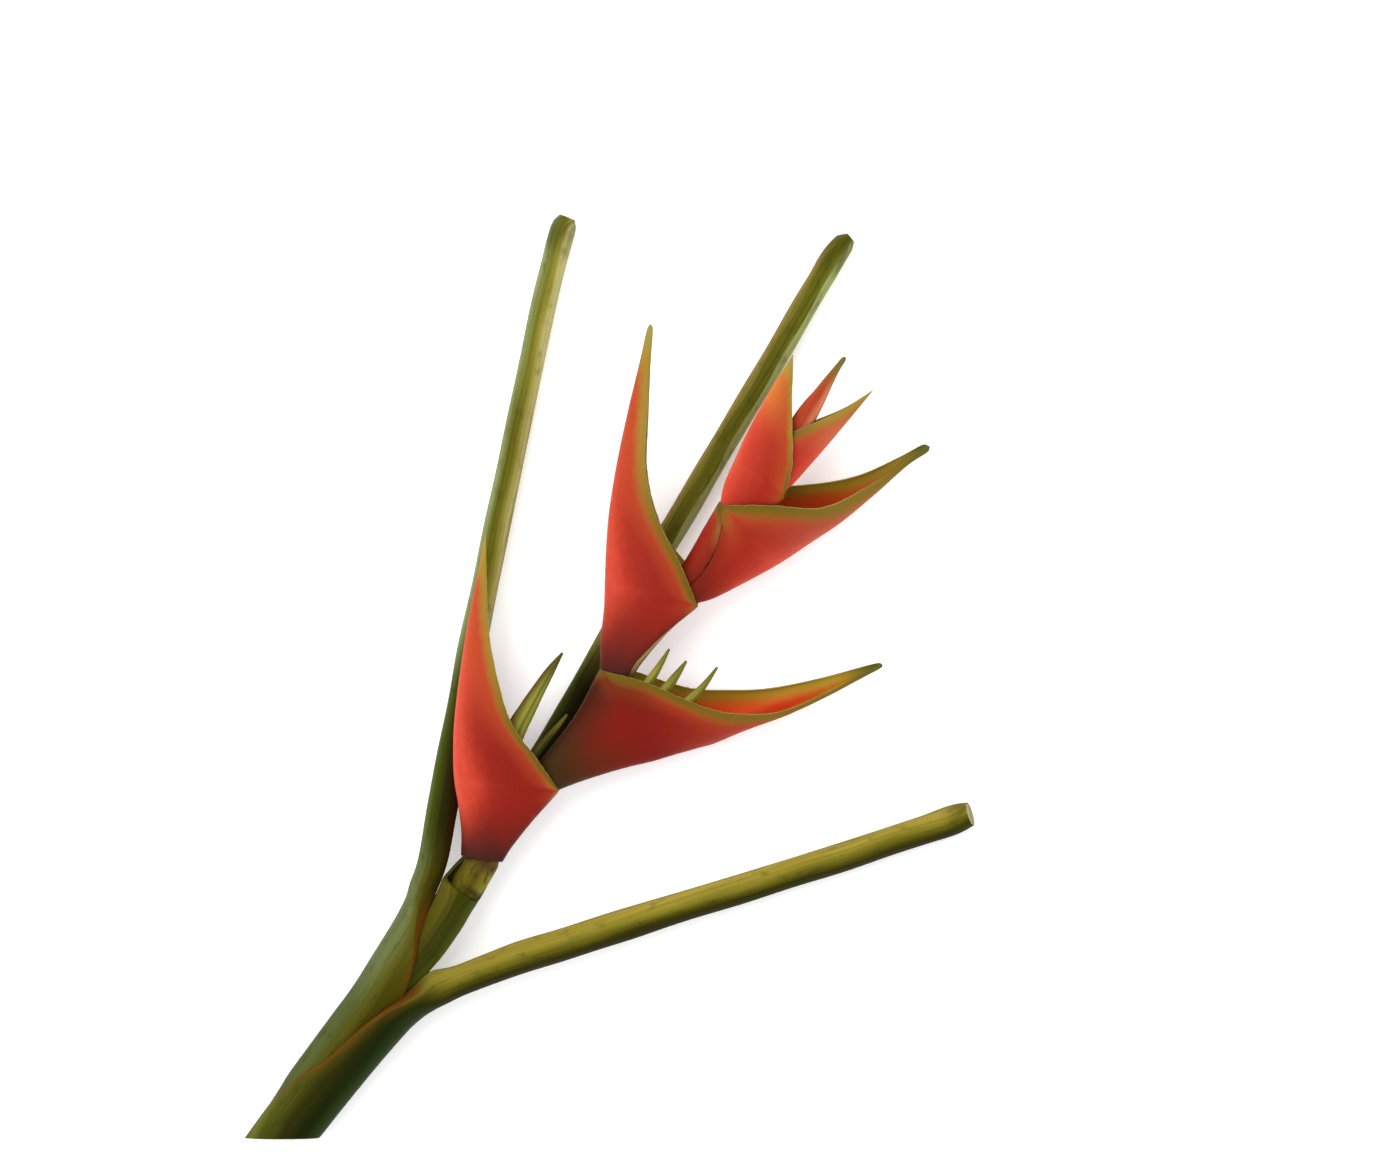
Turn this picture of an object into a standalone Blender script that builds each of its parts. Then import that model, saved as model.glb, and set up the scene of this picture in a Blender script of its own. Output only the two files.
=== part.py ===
"""A cut heliconia stem with its flower, lying on a table.

X runs across the stem, +Y along it towards the tip and +Z up from the table. The tables below are in
millimetres, as seen from straight above, with Y counted from the cut end. The meshes are in metres,
with their origin on the table under the middle of the whole.

The stem lies on three small flats: under its cut end, and under the ends of the left and right leaf
stalks. Seven boat-shaped bracts sit left and right in turn on its axis. Each is a row of ribs from
lip to keel: the first ribs clasp the axis, up to the corner rib, and the rest stand open.
"""

from math import radians

import bpy
import numpy as np

MM = 0.001
FOOTPRINT_MIDDLE = (10.046, 187.694)
CUT_SLOPE = 0.727
BRACT_WALL = 0.9
LIP_ANGLE = 125
CLASP_SLIT = 6
SOLID_DEPTH = 3.0
HOLLOW_DEPTH = 6.5
STALK_SWEEP = 152
SHARP_ANGLE = 40
SHEATH_EDGE = 0.9
GROOVE_SHARE = 0.4
GROOVE_DEPTH = 0.9

# Height of the stem's axis over the table: y, z
AXIS_HEIGHT = [(-10, 10.0), (10, 10.0), (20, 10.7), (60, 14.3), (110, 18.0), (160, 22.0), (205, 24.5), (245, 26.0),
               (280, 26.5), (350, 26.5)]

# Flower stalk, collar and bract axis: x, y, radius
AXIS = [(-0.95, 0, 5.1), (-0.9, 10, 5.1), (-0.8, 20, 5.1), (-0.5, 50, 5.1), (0.3, 80, 5.2),
        (0.0, 100, 5.2), (-0.4, 108, 5.2), (-0.6, 111.4, 5.2), (-0.8, 113.0, 5.6), (-0.9, 117, 5.75),
        (-0.9, 120, 5.7), (-0.8, 122.5, 5.2), (-0.7, 125.5, 4.3), (-0.7, 128, 3.6), (-0.6, 140, 3.4),
        (-0.2, 157, 3.4), (0, 180, 3.2), (0, 202, 2.7), (-0.3, 216, 2.2), (0, 232, 2.4), (0, 243, 2.3),
        (0.2, 250, 2.3), (-0.1, 262, 2.3), (-0.2, 275, 2.2), (0, 284, 1.9), (0, 292, 1.5), (0, 307.5, 1.0)]

# Sheaths and leaf stalks. Each row of a sheath: inner x, y, outer x, y, height, hollow radius,
# half the angle that it wraps, half thickness once round, roundness from 0 to 1.
# Each row of a free stalk: x, y, height, width.
RIGHT_SHEATH = [
    (7.30, 0, 10.1, 0, 10.0, 9.15, 174, 5.2, 0),
    (7.30, 10, 10.1, 10, 10.0, 9.15, 168, 5.2, 0),
    (7.30, 15, 10.2, 15, 10.35, 9.15, 157, 5.2, 0),
    (7.40, 20, 10.3, 20, 10.7, 9.2, 143, 5.2, 0),
    (7.50, 30, 10.8, 30, 11.6, 9.3, 110, 5.2, 0),
    (7.70, 40, 11.3, 40, 12.5, 9.4, 96, 5.2, 0),
    (8.00, 50, 12.1, 50, 13.4, 9.5, 85, 5.2, 0),
    (8.35, 60, 13.3, 60, 14.2, 9.6, 68, 5.2, 0),
    (8.60, 66, 14.6, 65, 14.5, 9.6, 54, 5.2, 0.1),
    (8.60, 73, 16.3, 69.8, 14.7, 9.6, 42, 5.2, 0.4),
    (9.40, 79, 18.6, 74.3, 14.7, 9.6, 34, 5.2, 0.8),
]
RIGHT_STALK = [(17.0, 82, 14.4, 10.5), (30, 103, 12.9, 10.6), (50, 130.3, 10.9, 10.6),
               (70, 157, 9.0, 10.2), (90, 183.4, 7.3, 9.6), (110, 211.2, 5.9, 9.7),
               (121, 226.3, 4.5, 9.7), (131.3, 240, 4.4, 9.6)]

LEFT_SHEATH = [
    (-7.95, 0, -10.5, 0, 10.0, 7.0, 172, 5.0, 0),
    (-7.95, 10, -10.5, 10, 10.0, 7.0, 172, 5.0, 0),
    (-8.00, 20, -10.7, 20, 10.7, 7.0, 170, 5.0, 0),
    (-7.95, 30, -11.1, 30, 11.6, 7.05, 168, 5.0, 0),
    (-7.90, 45, -11.8, 45, 13.0, 7.2, 160, 5.0, 0),
    (-7.70, 60, -12.0, 60, 14.3, 7.35, 148, 5.0, 0),
    (-7.40, 70, -12.8, 70, 15.0, 7.5, 122, 5.0, 0),
    (-7.25, 80, -13.5, 80, 15.6, 7.55, 92, 5.0, 0),
    (-7.10, 90, -14.4, 90, 16.1, 7.35, 60, 5.0, 0.1),
    (-7.20, 98, -15.7, 97, 16.5, 7.2, 42, 5.0, 0.4),
    (-7.70, 105, -17.4, 101.5, 16.6, 7.2, 34, 5.0, 0.8),
]
LEFT_STALK = [(-14.0, 108.3, 16.5, 10.2), (-24.2, 130, 14.9, 10.2), (-38, 160, 12.0, 10.3),
              (-56.3, 200, 8.7, 10.5), (-75.2, 240, 6.3, 10.4), (-93, 280, 4.9, 9.3),
              (-107.4, 313, 3.7, 8.1), (-110.8, 322, 3.4, 7.6), (-111.7, 326, 3.1, 6.8), (-111.9, 328, 3.1, 4.6)]

# The back sheath stands behind the flower stalk, so its rows give heights in place of inner and outer x:
# x, y, inner height, outer height, hollow radius, half angle, half width, roundness.
BACK_SHEATH = [
    (-0.95, 0, 4.55, 3.35, 5.45, 176, 4.5, 0),
    (-0.9, 10, 4.55, 3.35, 5.45, 176, 4.5, 0),
    (-0.8, 20, 5.25, 4.05, 5.45, 176, 4.5, 0),
    (-0.5, 50, 7.9, 6.65, 5.5, 176, 4.5, 0),
    (0.3, 80, 10.0, 8.7, 5.6, 176, 4.5, 0),
    (0.0, 100, 11.7, 10.2, 5.6, 176, 4.5, 0),
    (-0.4, 107, 12.2, 10.6, 5.6, 174, 4.5, 0),
    (-0.6, 109.6, 12.4, 10.6, 5.6, 168, 4.5, 0),
    (-0.6, 110.0, 12.4, 10.6, 5.65, 148, 4.5, 0),
    (-0.7, 110.4, 12.3, 10.5, 5.75, 127, 4.5, 0),
    (-0.7, 110.8, 12.2, 10.4, 5.85, 106, 4.5, 0),
    (-0.8, 111.2, 12.1, 10.3, 6.0, 85, 4.5, 0),
    (-0.8, 111.6, 12.0, 10.3, 6.15, 66, 4.5, 0),
    (-1.1, 116, 11.8, 9.4, 6.4, 58, 4.5, 0),
    (-1.7, 121, 11.6, 7.6, 6.6, 52, 4.5, 0.2),
    (-2.5, 127, 11.4, 5.0, 6.6, 44, 4.5, 0.6),
]
BACK_STALK = [(-3.6, 136, 7.0, 9.0), (-4.8, 150, 6.4, 9.0), (-6.1, 170, 6.4, 9.0),
              (-7.9, 190, 6.6, 9.0), (-10.3, 210, 7.0, 9.0), (-13.6, 240, 7.6, 9.0),
              (-16.4, 270, 8.2, 9.1), (-19.3, 300, 8.4, 9.2), (-22.0, 330, 8.4, 9.2),
              (-25.3, 362, 8.0, 8.9), (-26.7, 377, 7.7, 8.6), (-27.1, 382, 7.6, 7.4), (-27.1, 384, 7.6, 4.4)]

# Bracts. roll: degrees that the bract is turned about the stem, right side down. seam: degrees from
# the keel round to the seam in the clasping part, foot to corner. corner: the corner rib.
# Each rib: lip x, y, keel x, y, half width, twist. The last row is the tip.
BRACTS = {
    "bract_1": dict(roll=3, seam=(180,), corner=3, ribs=[
        (4.9, 127.0, -8.3, 120.3, 6.6, 0),
        (4.5, 134.0, -14.0, 127.0, 7.1, 0),
        (5.2, 147.0, -20.0, 133.8, 8.3, 0),
        (6.4, 160.0, -26.5, 141.2, 9.4, 0),
        (-5.5, 164.2, -32.5, 149.0, 9.4, 0),
        (-20.4, 169.0, -38.5, 158.0, 8.6, 0),
        (-33.4, 178.2, -46.3, 171.8, 7.2, 0),
        (-47.6, 191.6, -55.0, 188.8, 5.2, 0),
        (-58.3, 205.3, -62.0, 204.0, 3.1, 0),
        (-69.3, 219.7, -69.3, 219.7, 0.5, 0)]),
    "bract_2": dict(roll=13, seam=(180,), corner=4, ribs=[
        (-5.1, 159.4, 4.7, 157.2, 4.9, 0),
        (-5.0, 163.0, 5.0, 160.7, 5.1, 0),
        (-4.5, 173.0, 12.5, 170.5, 6.4, 0),
        (-4.5, 186.0, 21.0, 180.3, 7.5, 0),
        (-6.8, 204.0, 28.0, 188.5, 8.5, 0),
        (5.0, 209.8, 33.0, 195.0, 8.6, 6),
        (18.0, 213.4, 37.5, 200.8, 8.5, 12),
        (28.9, 217.0, 42.0, 207.0, 8.3, 20),
        (38.2, 222.3, 48.0, 216.3, 7.8, 32),
        (49.8, 231.5, 55.0, 228.5, 6.4, 42),
        (61.2, 246.1, 64.0, 244.5, 3.9, 44),
        (74.4, 265.0, 74.4, 265.0, 0.5, 44)]),
    "bract_3": dict(roll=-3, seam=(180,), corner=4, ribs=[
        (4.5, 203.3, -4.7, 201.4, 4.6, 0),
        (4.4, 207.0, -4.9, 204.7, 4.9, 0),
        (3.8, 214.5, -12.0, 212.5, 6.2, 0),
        (4.9, 229.0, -18.6, 222.0, 7.4, 0),
        (7.9, 243.0, -24.5, 230.8, 8.7, 0),
        (-5.0, 251.2, -31.0, 240.5, 8.4, 0),
        (-22.5, 260.2, -38.0, 252.0, 8.0, 0),
        (-36.2, 272.4, -46.0, 267.8, 6.6, 0),
        (-47.4, 288.9, -54.0, 285.8, 4.8, 0),
        (-56.9, 303.2, -60.5, 301.5, 2.8, 0),
        (-65.3, 315.2, -65.3, 315.2, 0.5, 0)]),
    "bract_4": dict(roll=22, seam=(140, 146, 152, 160, 178), corner=4, ribs=[
        (-4.7, 242.6, 4.3, 240.2, 3.6, 0),
        (-5.1, 247.0, 5.6, 243.6, 3.9, 0),
        (-5.6, 255.5, 10.7, 248.9, 5.4, 0),
        (-6.3, 266.5, 16.5, 259.3, 7.0, 0),
        (-7.2, 277.4, 22.3, 271.5, 8.6, 0),
        (4.0, 288.5, 26.0, 281.8, 8.8, 12),
        (18.5, 299.5, 30.8, 295.8, 7.2, 34),
        (29.3, 314.0, 35.2, 312.3, 4.5, 26),
        (36.4, 328.6, 38.9, 328.0, 2.6, 22),
        (41.8, 338.7, 41.8, 338.7, 0.5, 20)]),
    "bract_5": dict(roll=3, seam=(180,), corner=3, ribs=[
        (3.9, 275.6, -4.3, 274.4, 4.0, 0),
        (4.5, 279.5, -5.2, 277.9, 4.3, 0),
        (7.0, 285.0, -9.2, 284.0, 5.0, 0),
        (9.9, 293.0, -12.3, 293.5, 6.4, 0),
        (5.2, 304.0, -14.3, 303.5, 6.5, 0),
        (-2.2, 314.4, -15.8, 314.0, 5.4, 0),
        (-8.6, 323.0, -16.8, 323.5, 4.2, 0),
        (-13.2, 330.0, -17.2, 330.5, 2.5, 0),
        (-17.6, 336.4, -17.6, 336.4, 0.5, 0)]),
    "bract_6": dict(roll=8, seam=(180,), corner=3, ribs=[
        (-3.1, 292.0, 3.1, 291.0, 2.9, 0),
        (-3.2, 297.5, 6.5, 295.5, 3.3, 0),
        (-3.4, 304.0, 10.2, 300.5, 3.7, 0),
        (-3.2, 311.0, 10.9, 307.5, 4.1, 0),
        (0.2, 317.5, 11.6, 315.0, 4.2, 0),
        (4.3, 324.5, 12.2, 323.0, 3.4, 0),
        (9.0, 332.5, 12.8, 331.5, 2.2, 0),
        (13.5, 343.3, 13.5, 343.3, 0.5, 0)]),
}

# The last bract is a closed bud: x, y, half width
BUD = [(0, 308.0, 1.5), (-0.1, 312.0, 2.2), (-0.4, 316.0, 3.4), (-0.4, 320.0, 3.8), (-0.7, 325.0, 3.4),
       (-0.9, 330.0, 2.7), (-1.4, 336.0, 1.9), (-1.7, 342.0, 1.15), (-1.7, 346.5, 0.3)]
BUD_FLATNESS = 0.7

# Flowers: x, y, height off the flower's flat plane, half width
FLOWERS = {
    "flower_1a": dict(roll=3, depth=0.7, spine=[
        (-5.1, 139.0, 0, 0.9), (-10.0, 146.5, 0, 1.9), (-15.0, 156.5, 0.5, 3.0), (-18.7, 168.0, 1, 3.6),
        (-20.0, 177.0, 1, 3.1), (-20.9, 185.0, 1, 2.4), (-21.5, 193.0, 1, 1.7), (-21.8, 201.0, 1, 0.4)]),
    "flower_1b": dict(roll=3, depth=0.9, spine=[
        (-4.7, 144.0, 1.5, 0.8), (-7.6, 150.0, 3, 1.2), (-8.1, 158.0, 4, 1.5), (-8.1, 166.0, 4, 1.6),
        (-7.9, 173.0, 4, 1.3), (-7.5, 179.0, 4, 0.9), (-7.3, 184.0, 4, 0.35)]),
    "flower_2a": dict(roll=13, depth=0.9, spine=[
        (3.6, 184.0, 2, 0.8), (7.2, 190.0, 2, 1.2), (9.0, 200.0, 2, 1.5), (9.3, 211.0, 2, 1.6),
        (9.0, 218.0, 2, 1.1), (8.3, 224.7, 2, 0.4)]),
    "flower_2b": dict(roll=13, depth=0.9, spine=[
        (4.1, 179.5, 0, 0.8), (9.5, 187.0, 0, 1.3), (14.0, 199.0, 0, 1.7), (16.2, 211.0, 0, 1.9),
        (16.4, 218.5, 0, 1.3), (16.3, 224.7, 0, 0.4)]),
    "flower_2c": dict(roll=13, depth=0.9, spine=[
        (3.95, 175.0, 1, 0.8), (12.5, 183.0, 1, 1.3), (20.0, 197.0, 1, 1.7), (24.8, 211.0, 1, 1.9),
        (26.3, 220.5, 1, 1.2), (26.4, 229.5, 1, 0.4)]),
}

# Principled colours and roughness
FINISHES = {
    "leaf_stalk": ((0.10, 0.12, 0.012, 1), 0.45),
    "flower_stalk": ((0.20, 0.17, 0.02, 1), 0.5),
    "bract": ((0.55, 0.05, 0.02, 1), 0.5),
    "flower": ((0.30, 0.30, 0.03, 1), 0.5),
}

# Where the extra ribs stand: past the corner, and before the tip
OPENING = np.array([0.04, 0.16, 0.4, 0.7])
ENDING = np.array([1, 0.6, 0.25])

ACROSS_HALF = 6
AROUND_SHEATH = 24
AROUND_AXIS = 16
AROUND_FLOWER = 8


def smooth(rows, places):
    """Rows read off at the places, as a curve through all of them; a place counts rows."""
    rows = np.asarray(rows, float)
    knots = np.arange(len(rows), dtype=float)
    slopes = np.gradient(rows, axis=0)
    first = np.clip(np.floor(places).astype(int), 0, len(rows) - 2)
    f = (np.asarray(places) - knots[first])[:, None]
    a, b = rows[first], rows[first + 1]
    return ((2 * f**3 - 3 * f**2 + 1) * a + (f**3 - 2 * f**2 + f) * slopes[first]
            + (3 * f**2 - 2 * f**3) * b + (f**3 - f**2) * slopes[first + 1])


def axis_height(y):
    height = np.array(AXIS_HEIGHT, float)
    return np.interp(y, height[:, 0], height[:, 1])


def mesh_object(name, points, faces, finish):
    """One closed solid from points in millimetres, faces turned outwards."""
    points = np.array(points, float)
    points[:, 2] = np.maximum(points[:, 2], 0)
    points[:, :2] -= FOOTPRINT_MIDDLE
    mesh = bpy.data.meshes.new(name)
    mesh.from_pydata((points * MM).tolist(), [], faces)
    corners = points[[f[:3] for f in faces]]
    if np.linalg.det(corners).sum() < 0:
        mesh.flip_normals()
    mesh.materials.append(finish)
    mesh.shade_smooth()
    mesh.set_sharp_from_angle(angle=radians(SHARP_ANGLE))
    parts.objects.link(bpy.data.objects.new(name, mesh))


def loft(rings):
    """Points of closed rings, and the triangles between them. A ring's second half comes back under its
    first, and is split alike."""
    count = len(rings[0])
    faces = []
    for here in range(0, (len(rings) - 1) * count, count):
        for j in range(count):
            k = (j + 1) % count
            a, b, c, d = here + j, here + k, here + count + k, here + count + j
            if j < count // 2:
                faces += [(a, b, c), (a, c, d)]
            else:
                faces += [(a, b, d), (b, c, d)]
    return np.concatenate(rings), faces


def end_cap(first, count, strips):
    """Faces that close the ring at first: strips from its outer side to its inner side, or one face."""
    if not strips:
        return [tuple(range(first, first + count))]
    far = first + count - 1
    return [(first + j, first + j + 1, far - 1 - j, far - j) for j in range(count // 2 - 1)]


def solid_of_rings(name, rings, finish, tip=None, strips=True):
    """A loft, closed at its first ring and either at its last ring or in a tip."""
    points, faces = loft(rings)
    count = len(rings[0])
    last = len(points) - count
    faces += [face[::-1] for face in end_cap(0, count, strips)]
    if tip is None:
        faces += end_cap(last, count, strips)
    else:
        faces += [(last + j, last + (j + 1) % count, len(points)) for j in range(count)]
        points = np.vstack([points, tip])
    mesh_object(name, points, faces, finish)


def unit(v):
    return v / np.linalg.norm(v, axis=-1, keepdims=True)


def sheath_section(thickness, hollow, half_angle, half_thick, roundness):
    """Outer and inner outline of a sheath that turns into a stalk: out from the hollow, and across."""
    v = np.linspace(-1, 1, AROUND_SHEATH + 1)
    angle = radians(half_angle) * v
    wall = SHEATH_EDGE + (thickness - SHEATH_EDGE) * ((1 + np.cos(angle)) / 2) ** 2.5
    inner = np.stack([hollow * (np.cos(angle) - 1), hollow * np.sin(angle)], 1)
    outer = inner + wall[:, None] * np.stack([np.cos(angle), np.sin(angle)], 1)
    sweep = radians(STALK_SWEEP) * v
    round_outer = np.stack([thickness / 2 * (1 + np.cos(sweep)), half_thick * np.sin(sweep)], 1)
    round_inner = np.stack([GROOVE_DEPTH * (1 - 0.6 * v**2), GROOVE_SHARE * half_thick * v], 1)
    outer = (1 - roundness) * outer + roundness * round_outer
    inner = (1 - roundness) * inner + roundness * round_inner
    return outer, inner


def stalk_ring(inner_point, outer_point, across, section):
    """The section's outlines set up between two points, as one closed ring."""
    outer, inner = section
    out = unit(outer_point - inner_point)
    ring = np.concatenate([outer, inner[::-1]])
    return inner_point + ring[:, :1] * out + ring[:, 1:] * across


def slanted(ring):
    """The ring moved along the stem onto the slanted cut."""
    ring = ring.copy()
    ring[:, 1] = CUT_SLOPE * ring[:, 0]
    return ring


def side_leaf_stalk(name, sheath, stalk, side, finish):
    """A sheath and its leaf stalk that leaves the stem to one side: -1 left, +1 right."""
    rings = []
    up = np.array([0, 0, 1.0])
    for ix, iy, ox, oy, z, hollow, half_angle, half_thick, roundness in sheath:
        section = sheath_section(np.hypot(ox - ix, oy - iy), hollow, half_angle, half_thick, roundness)
        rings.append(stalk_ring(np.array([ix, iy, z]), np.array([ox, oy, z]), up, section))
    rings[0] = slanted(rings[0])
    stalk = np.array(stalk, float)
    heading = unit(np.gradient(stalk[:, :3], axis=0))
    for (x, y, z, width), run in zip(stalk, heading):
        out = unit(np.cross(run, up)) * side
        middle = np.array([x, y, z])
        section = sheath_section(width, width, 30, width / 2, 1)
        across = unit(np.cross(out, run)) * side
        rings.append(stalk_ring(middle - out * width / 2, middle + out * width / 2, across, section))
    solid_of_rings(name, rings, finish)


def back_leaf_stalk(name, sheath, stalk, finish):
    """The tube round the flower stalk and its leaf stalk, which runs up behind."""
    rings = []
    for x, y, z_in, z_out, hollow, half_angle, half_width, roundness in sheath:
        section = sheath_section(z_in - z_out, hollow, half_angle, half_width, roundness)
        rings.append(stalk_ring(np.array([x, y, z_in]), np.array([x, y, z_out]), np.array([1.0, 0, 0]), section))
    rings[0] = slanted(rings[0])
    stalk = np.array(stalk, float)
    heading = unit(np.gradient(stalk[:, :3], axis=0))
    for (x, y, z, width), run in zip(stalk, heading):
        across = unit(np.cross(run, [0, 0, 1.0]))
        out = np.cross(run, across)
        middle = np.array([x, y, z])
        section = sheath_section(width, width, 30, width / 2, 1)
        rings.append(stalk_ring(middle - out * width / 2, middle + out * width / 2, across, section))
    solid_of_rings(name, rings, finish)


def circle(count):
    angle = np.arange(count) * 2 * np.pi / count
    return np.cos(angle), np.sin(angle)


def flower_stalk(name, finish):
    """The stalk in the middle of the sheaths, its collar and the axis that carries the bracts."""
    cx, cz = circle(AROUND_AXIS)
    rings = []
    for x, y, r in AXIS:
        ring = np.stack([x + r * cx, np.full(AROUND_AXIS, y), axis_height(y) + r * cz], 1)
        rings.append(ring)
    rings[0] = slanted(rings[0])
    solid_of_rings(name, rings, finish, strips=False)


def rolled(x, y, rise, roll):
    """A place seen from above at (x, y), rise off a plane through the axis that is rolled about it."""
    a = radians(roll)
    return np.stack([x + rise * np.sin(a), y, axis_height(y) + rise * np.cos(a) - x * np.tan(a)], -1)


def lobe(angle, sharpness):
    """A rib's height over its middle: half a round at sharpness 0, a drop that narrows to the keel at 1."""
    return np.abs(np.sin(angle)) ** (1 - 0.2 * sharpness) * np.abs(np.sin(angle / 2)) ** (0.4 * sharpness)


def boat_outline(depth, half_width, sharpness, degrees):
    """A rib from far lip round the keel to near lip: distance from the keel, and height."""
    angle = np.radians(degrees)
    peak = lobe(np.linspace(0, np.pi, 90), sharpness).max()
    rise = np.sign(np.sin(angle)) * lobe(angle, sharpness) / peak
    return np.stack([depth * (1 - np.cos(angle)) / 2, half_width * rise], -1)


def rib_angles(place, corner, seam):
    """Angles of a rib's points about its middle, from the far lip to the near lip, with the keel at 0."""
    if place <= corner:
        near = np.interp(place, np.linspace(0, corner, len(seam)), seam)
        far = 360 - near - CLASP_SLIT / 2
        near = near - CLASP_SLIT / 2
    else:
        far = near = 180 - (180 - LIP_ANGLE) * min(1, place - corner) ** 0.5
    return np.concatenate([np.linspace(-far, 0, ACROSS_HALF + 1)[:-1], np.linspace(0, near, ACROSS_HALF + 1)])


def bract_ring(lip, keel, half_width, twist, roll, angles, sharpness, fills):
    """One rib of a bract as a closed ring: its outer side, and the inner side that comes back."""
    span = np.linalg.norm(lip - keel)
    t = radians(twist)
    pivot = span / np.cos(t)
    depth = pivot * 2 / (1 - np.cos(radians(angles[-1])))
    outline = boat_outline(depth, half_width, sharpness, angles)
    step = 0.5
    along = unit(boat_outline(depth, half_width, sharpness, angles + step)
                 - boat_outline(depth, half_width, sharpness, angles - step))
    inner = outline - BRACT_WALL * np.stack([-along[:, 1], along[:, 0]], 1)
    if fills:
        fill = np.clip((HOLLOW_DEPTH - depth) / (HOLLOW_DEPTH - SOLID_DEPTH), 0, 1)
        chord = np.linspace(0.15, 0.85, len(angles))[:, None]
        inner += fill * (outline[0] + (outline[-1] - outline[0]) * chord - inner)
    out, rise = np.concatenate([outline, inner[::-1]]).T
    turned_out = span + (out - pivot) * np.cos(t) - rise * np.sin(t)
    turned_rise = (out - pivot) * np.sin(t) + rise * np.cos(t)
    keel_shift = (pivot - out) * np.sin(t) * np.sin(radians(roll))
    to_lip = (lip - keel) / span
    return rolled(keel[0] + turned_out * to_lip[0] + keel_shift, keel[1] + turned_out * to_lip[1],
                  turned_rise, roll)


def bract(name, roll, seam, corner, ribs, finish):
    """A bract from its foot on the axis to its tip. The lip turns a sharp corner; the keel runs smooth."""
    ribs = np.array(ribs, float)
    last = len(ribs) - 1
    places = np.concatenate([np.arange(corner), [corner - 0.4, corner], corner + OPENING,
                             np.arange(corner + 1, last - 1, 0.5), last - ENDING])
    lips = np.where((places <= corner)[:, None],
                    smooth(ribs[: corner + 1, :2], np.minimum(places, corner)),
                    smooth(ribs[corner:, :2], np.maximum(places - corner, 0)))
    rings = []
    for place, lip, row in zip(places, lips, smooth(ribs, places)):
        angles = rib_angles(place, corner, seam)
        rings.append(bract_ring(lip, row[2:4], row[4], row[5], roll, angles, min(1, place / corner),
                                place > corner))
    solid_of_rings(name, rings, finish, tip=rolled(*ribs[-1, :2], 0.0, roll))


def spindle(name, spine, roll, depth, sides, finish):
    """A slim closed body along a spine, flattened by depth in the direction off the plane."""
    spine = np.array(spine, float)
    heading = unit(np.gradient(spine[:, :2], axis=0))
    cx, cz = circle(sides)
    rings = []
    for (x, y, rise, r), run in zip(spine[:-1], heading):
        across = np.array([run[1], -run[0]])
        rings.append(rolled(x + r * cx * across[0], y + r * cx * across[1], rise + depth * r * cz, roll))
    tip = rolled(spine[-1, 0], spine[-1, 1], spine[-1, 2], roll)
    solid_of_rings(name, rings, finish, tip=tip, strips=False)


def principled(name, colour, roughness):
    material = bpy.data.materials.new(name)
    material.use_nodes = True
    shader = material.node_tree.nodes["Principled BSDF"]
    shader.inputs["Base Color"].default_value = colour
    shader.inputs["Roughness"].default_value = roughness
    shader.inputs["Metallic"].default_value = 0
    return material


for old in list(bpy.data.objects):
    bpy.data.objects.remove(old)
parts = bpy.data.collections.new("heliconia")
bpy.context.scene.collection.children.link(parts)
finishes = {name: principled(name, *look) for name, look in FINISHES.items()}

side_leaf_stalk("leaf_stalk_right", RIGHT_SHEATH, RIGHT_STALK, 1, finishes["leaf_stalk"])
side_leaf_stalk("leaf_stalk_left", LEFT_SHEATH, LEFT_STALK, -1, finishes["leaf_stalk"])
back_leaf_stalk("leaf_stalk_back", BACK_SHEATH, BACK_STALK, finishes["leaf_stalk"])
flower_stalk("flower_stalk", finishes["flower_stalk"])
for name, design in BRACTS.items():
    bract(name, finish=finishes["bract"], **design)
bud_spine = [(x, y, 0, r) for x, y, r in BUD]
spindle("bract_7", bud_spine, 0, BUD_FLATNESS, AROUND_AXIS, finishes["bract"])
for name, design in FLOWERS.items():
    spindle(name, design["spine"], design["roll"], design["depth"], AROUND_FLOWER, finishes["flower"])
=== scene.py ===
# %% [markdown]
# A cut heliconia lies on a white table, seen from straight above. Seven boat-shaped bracts sit left and
# right in turn on one axis, small true flowers stand out of the lower two, and three bare leaf stalks
# spread from the sheaths that wrap the stem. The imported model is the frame: it already holds every piece
# at its real size and place. This lesson makes the fine surface of each piece round it.

# %% Load the frame and keep its box
from math import cos, radians, sin, tan

import bpy
import numpy as np
from mathutils import Matrix, Vector


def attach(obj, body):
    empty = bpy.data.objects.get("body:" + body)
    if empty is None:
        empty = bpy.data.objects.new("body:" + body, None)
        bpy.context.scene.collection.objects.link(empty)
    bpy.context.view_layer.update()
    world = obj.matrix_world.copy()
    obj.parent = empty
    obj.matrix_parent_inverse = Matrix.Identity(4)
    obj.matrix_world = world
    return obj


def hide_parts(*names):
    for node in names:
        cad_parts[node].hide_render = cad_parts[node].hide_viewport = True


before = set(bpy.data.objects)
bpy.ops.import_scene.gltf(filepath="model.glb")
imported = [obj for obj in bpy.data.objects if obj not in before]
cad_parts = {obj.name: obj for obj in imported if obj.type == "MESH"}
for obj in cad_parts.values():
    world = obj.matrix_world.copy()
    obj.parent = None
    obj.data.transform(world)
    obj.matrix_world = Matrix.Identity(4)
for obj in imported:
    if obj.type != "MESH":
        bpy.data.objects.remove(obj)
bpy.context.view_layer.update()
print("pieces in the frame:", len(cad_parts))

# %% [markdown]
# Every table below is in millimetres as seen from above, with Y counted up the stem from its cut end.
# That is how one would measure the flower with a ruler. One function turns such points into Blender's
# metres, with the origin on the table under the middle of the whole.

# %% From the ruler's millimetres to the frame
MM = 0.001
FOOTPRINT_MIDDLE = (10.046, 187.694)


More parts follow.
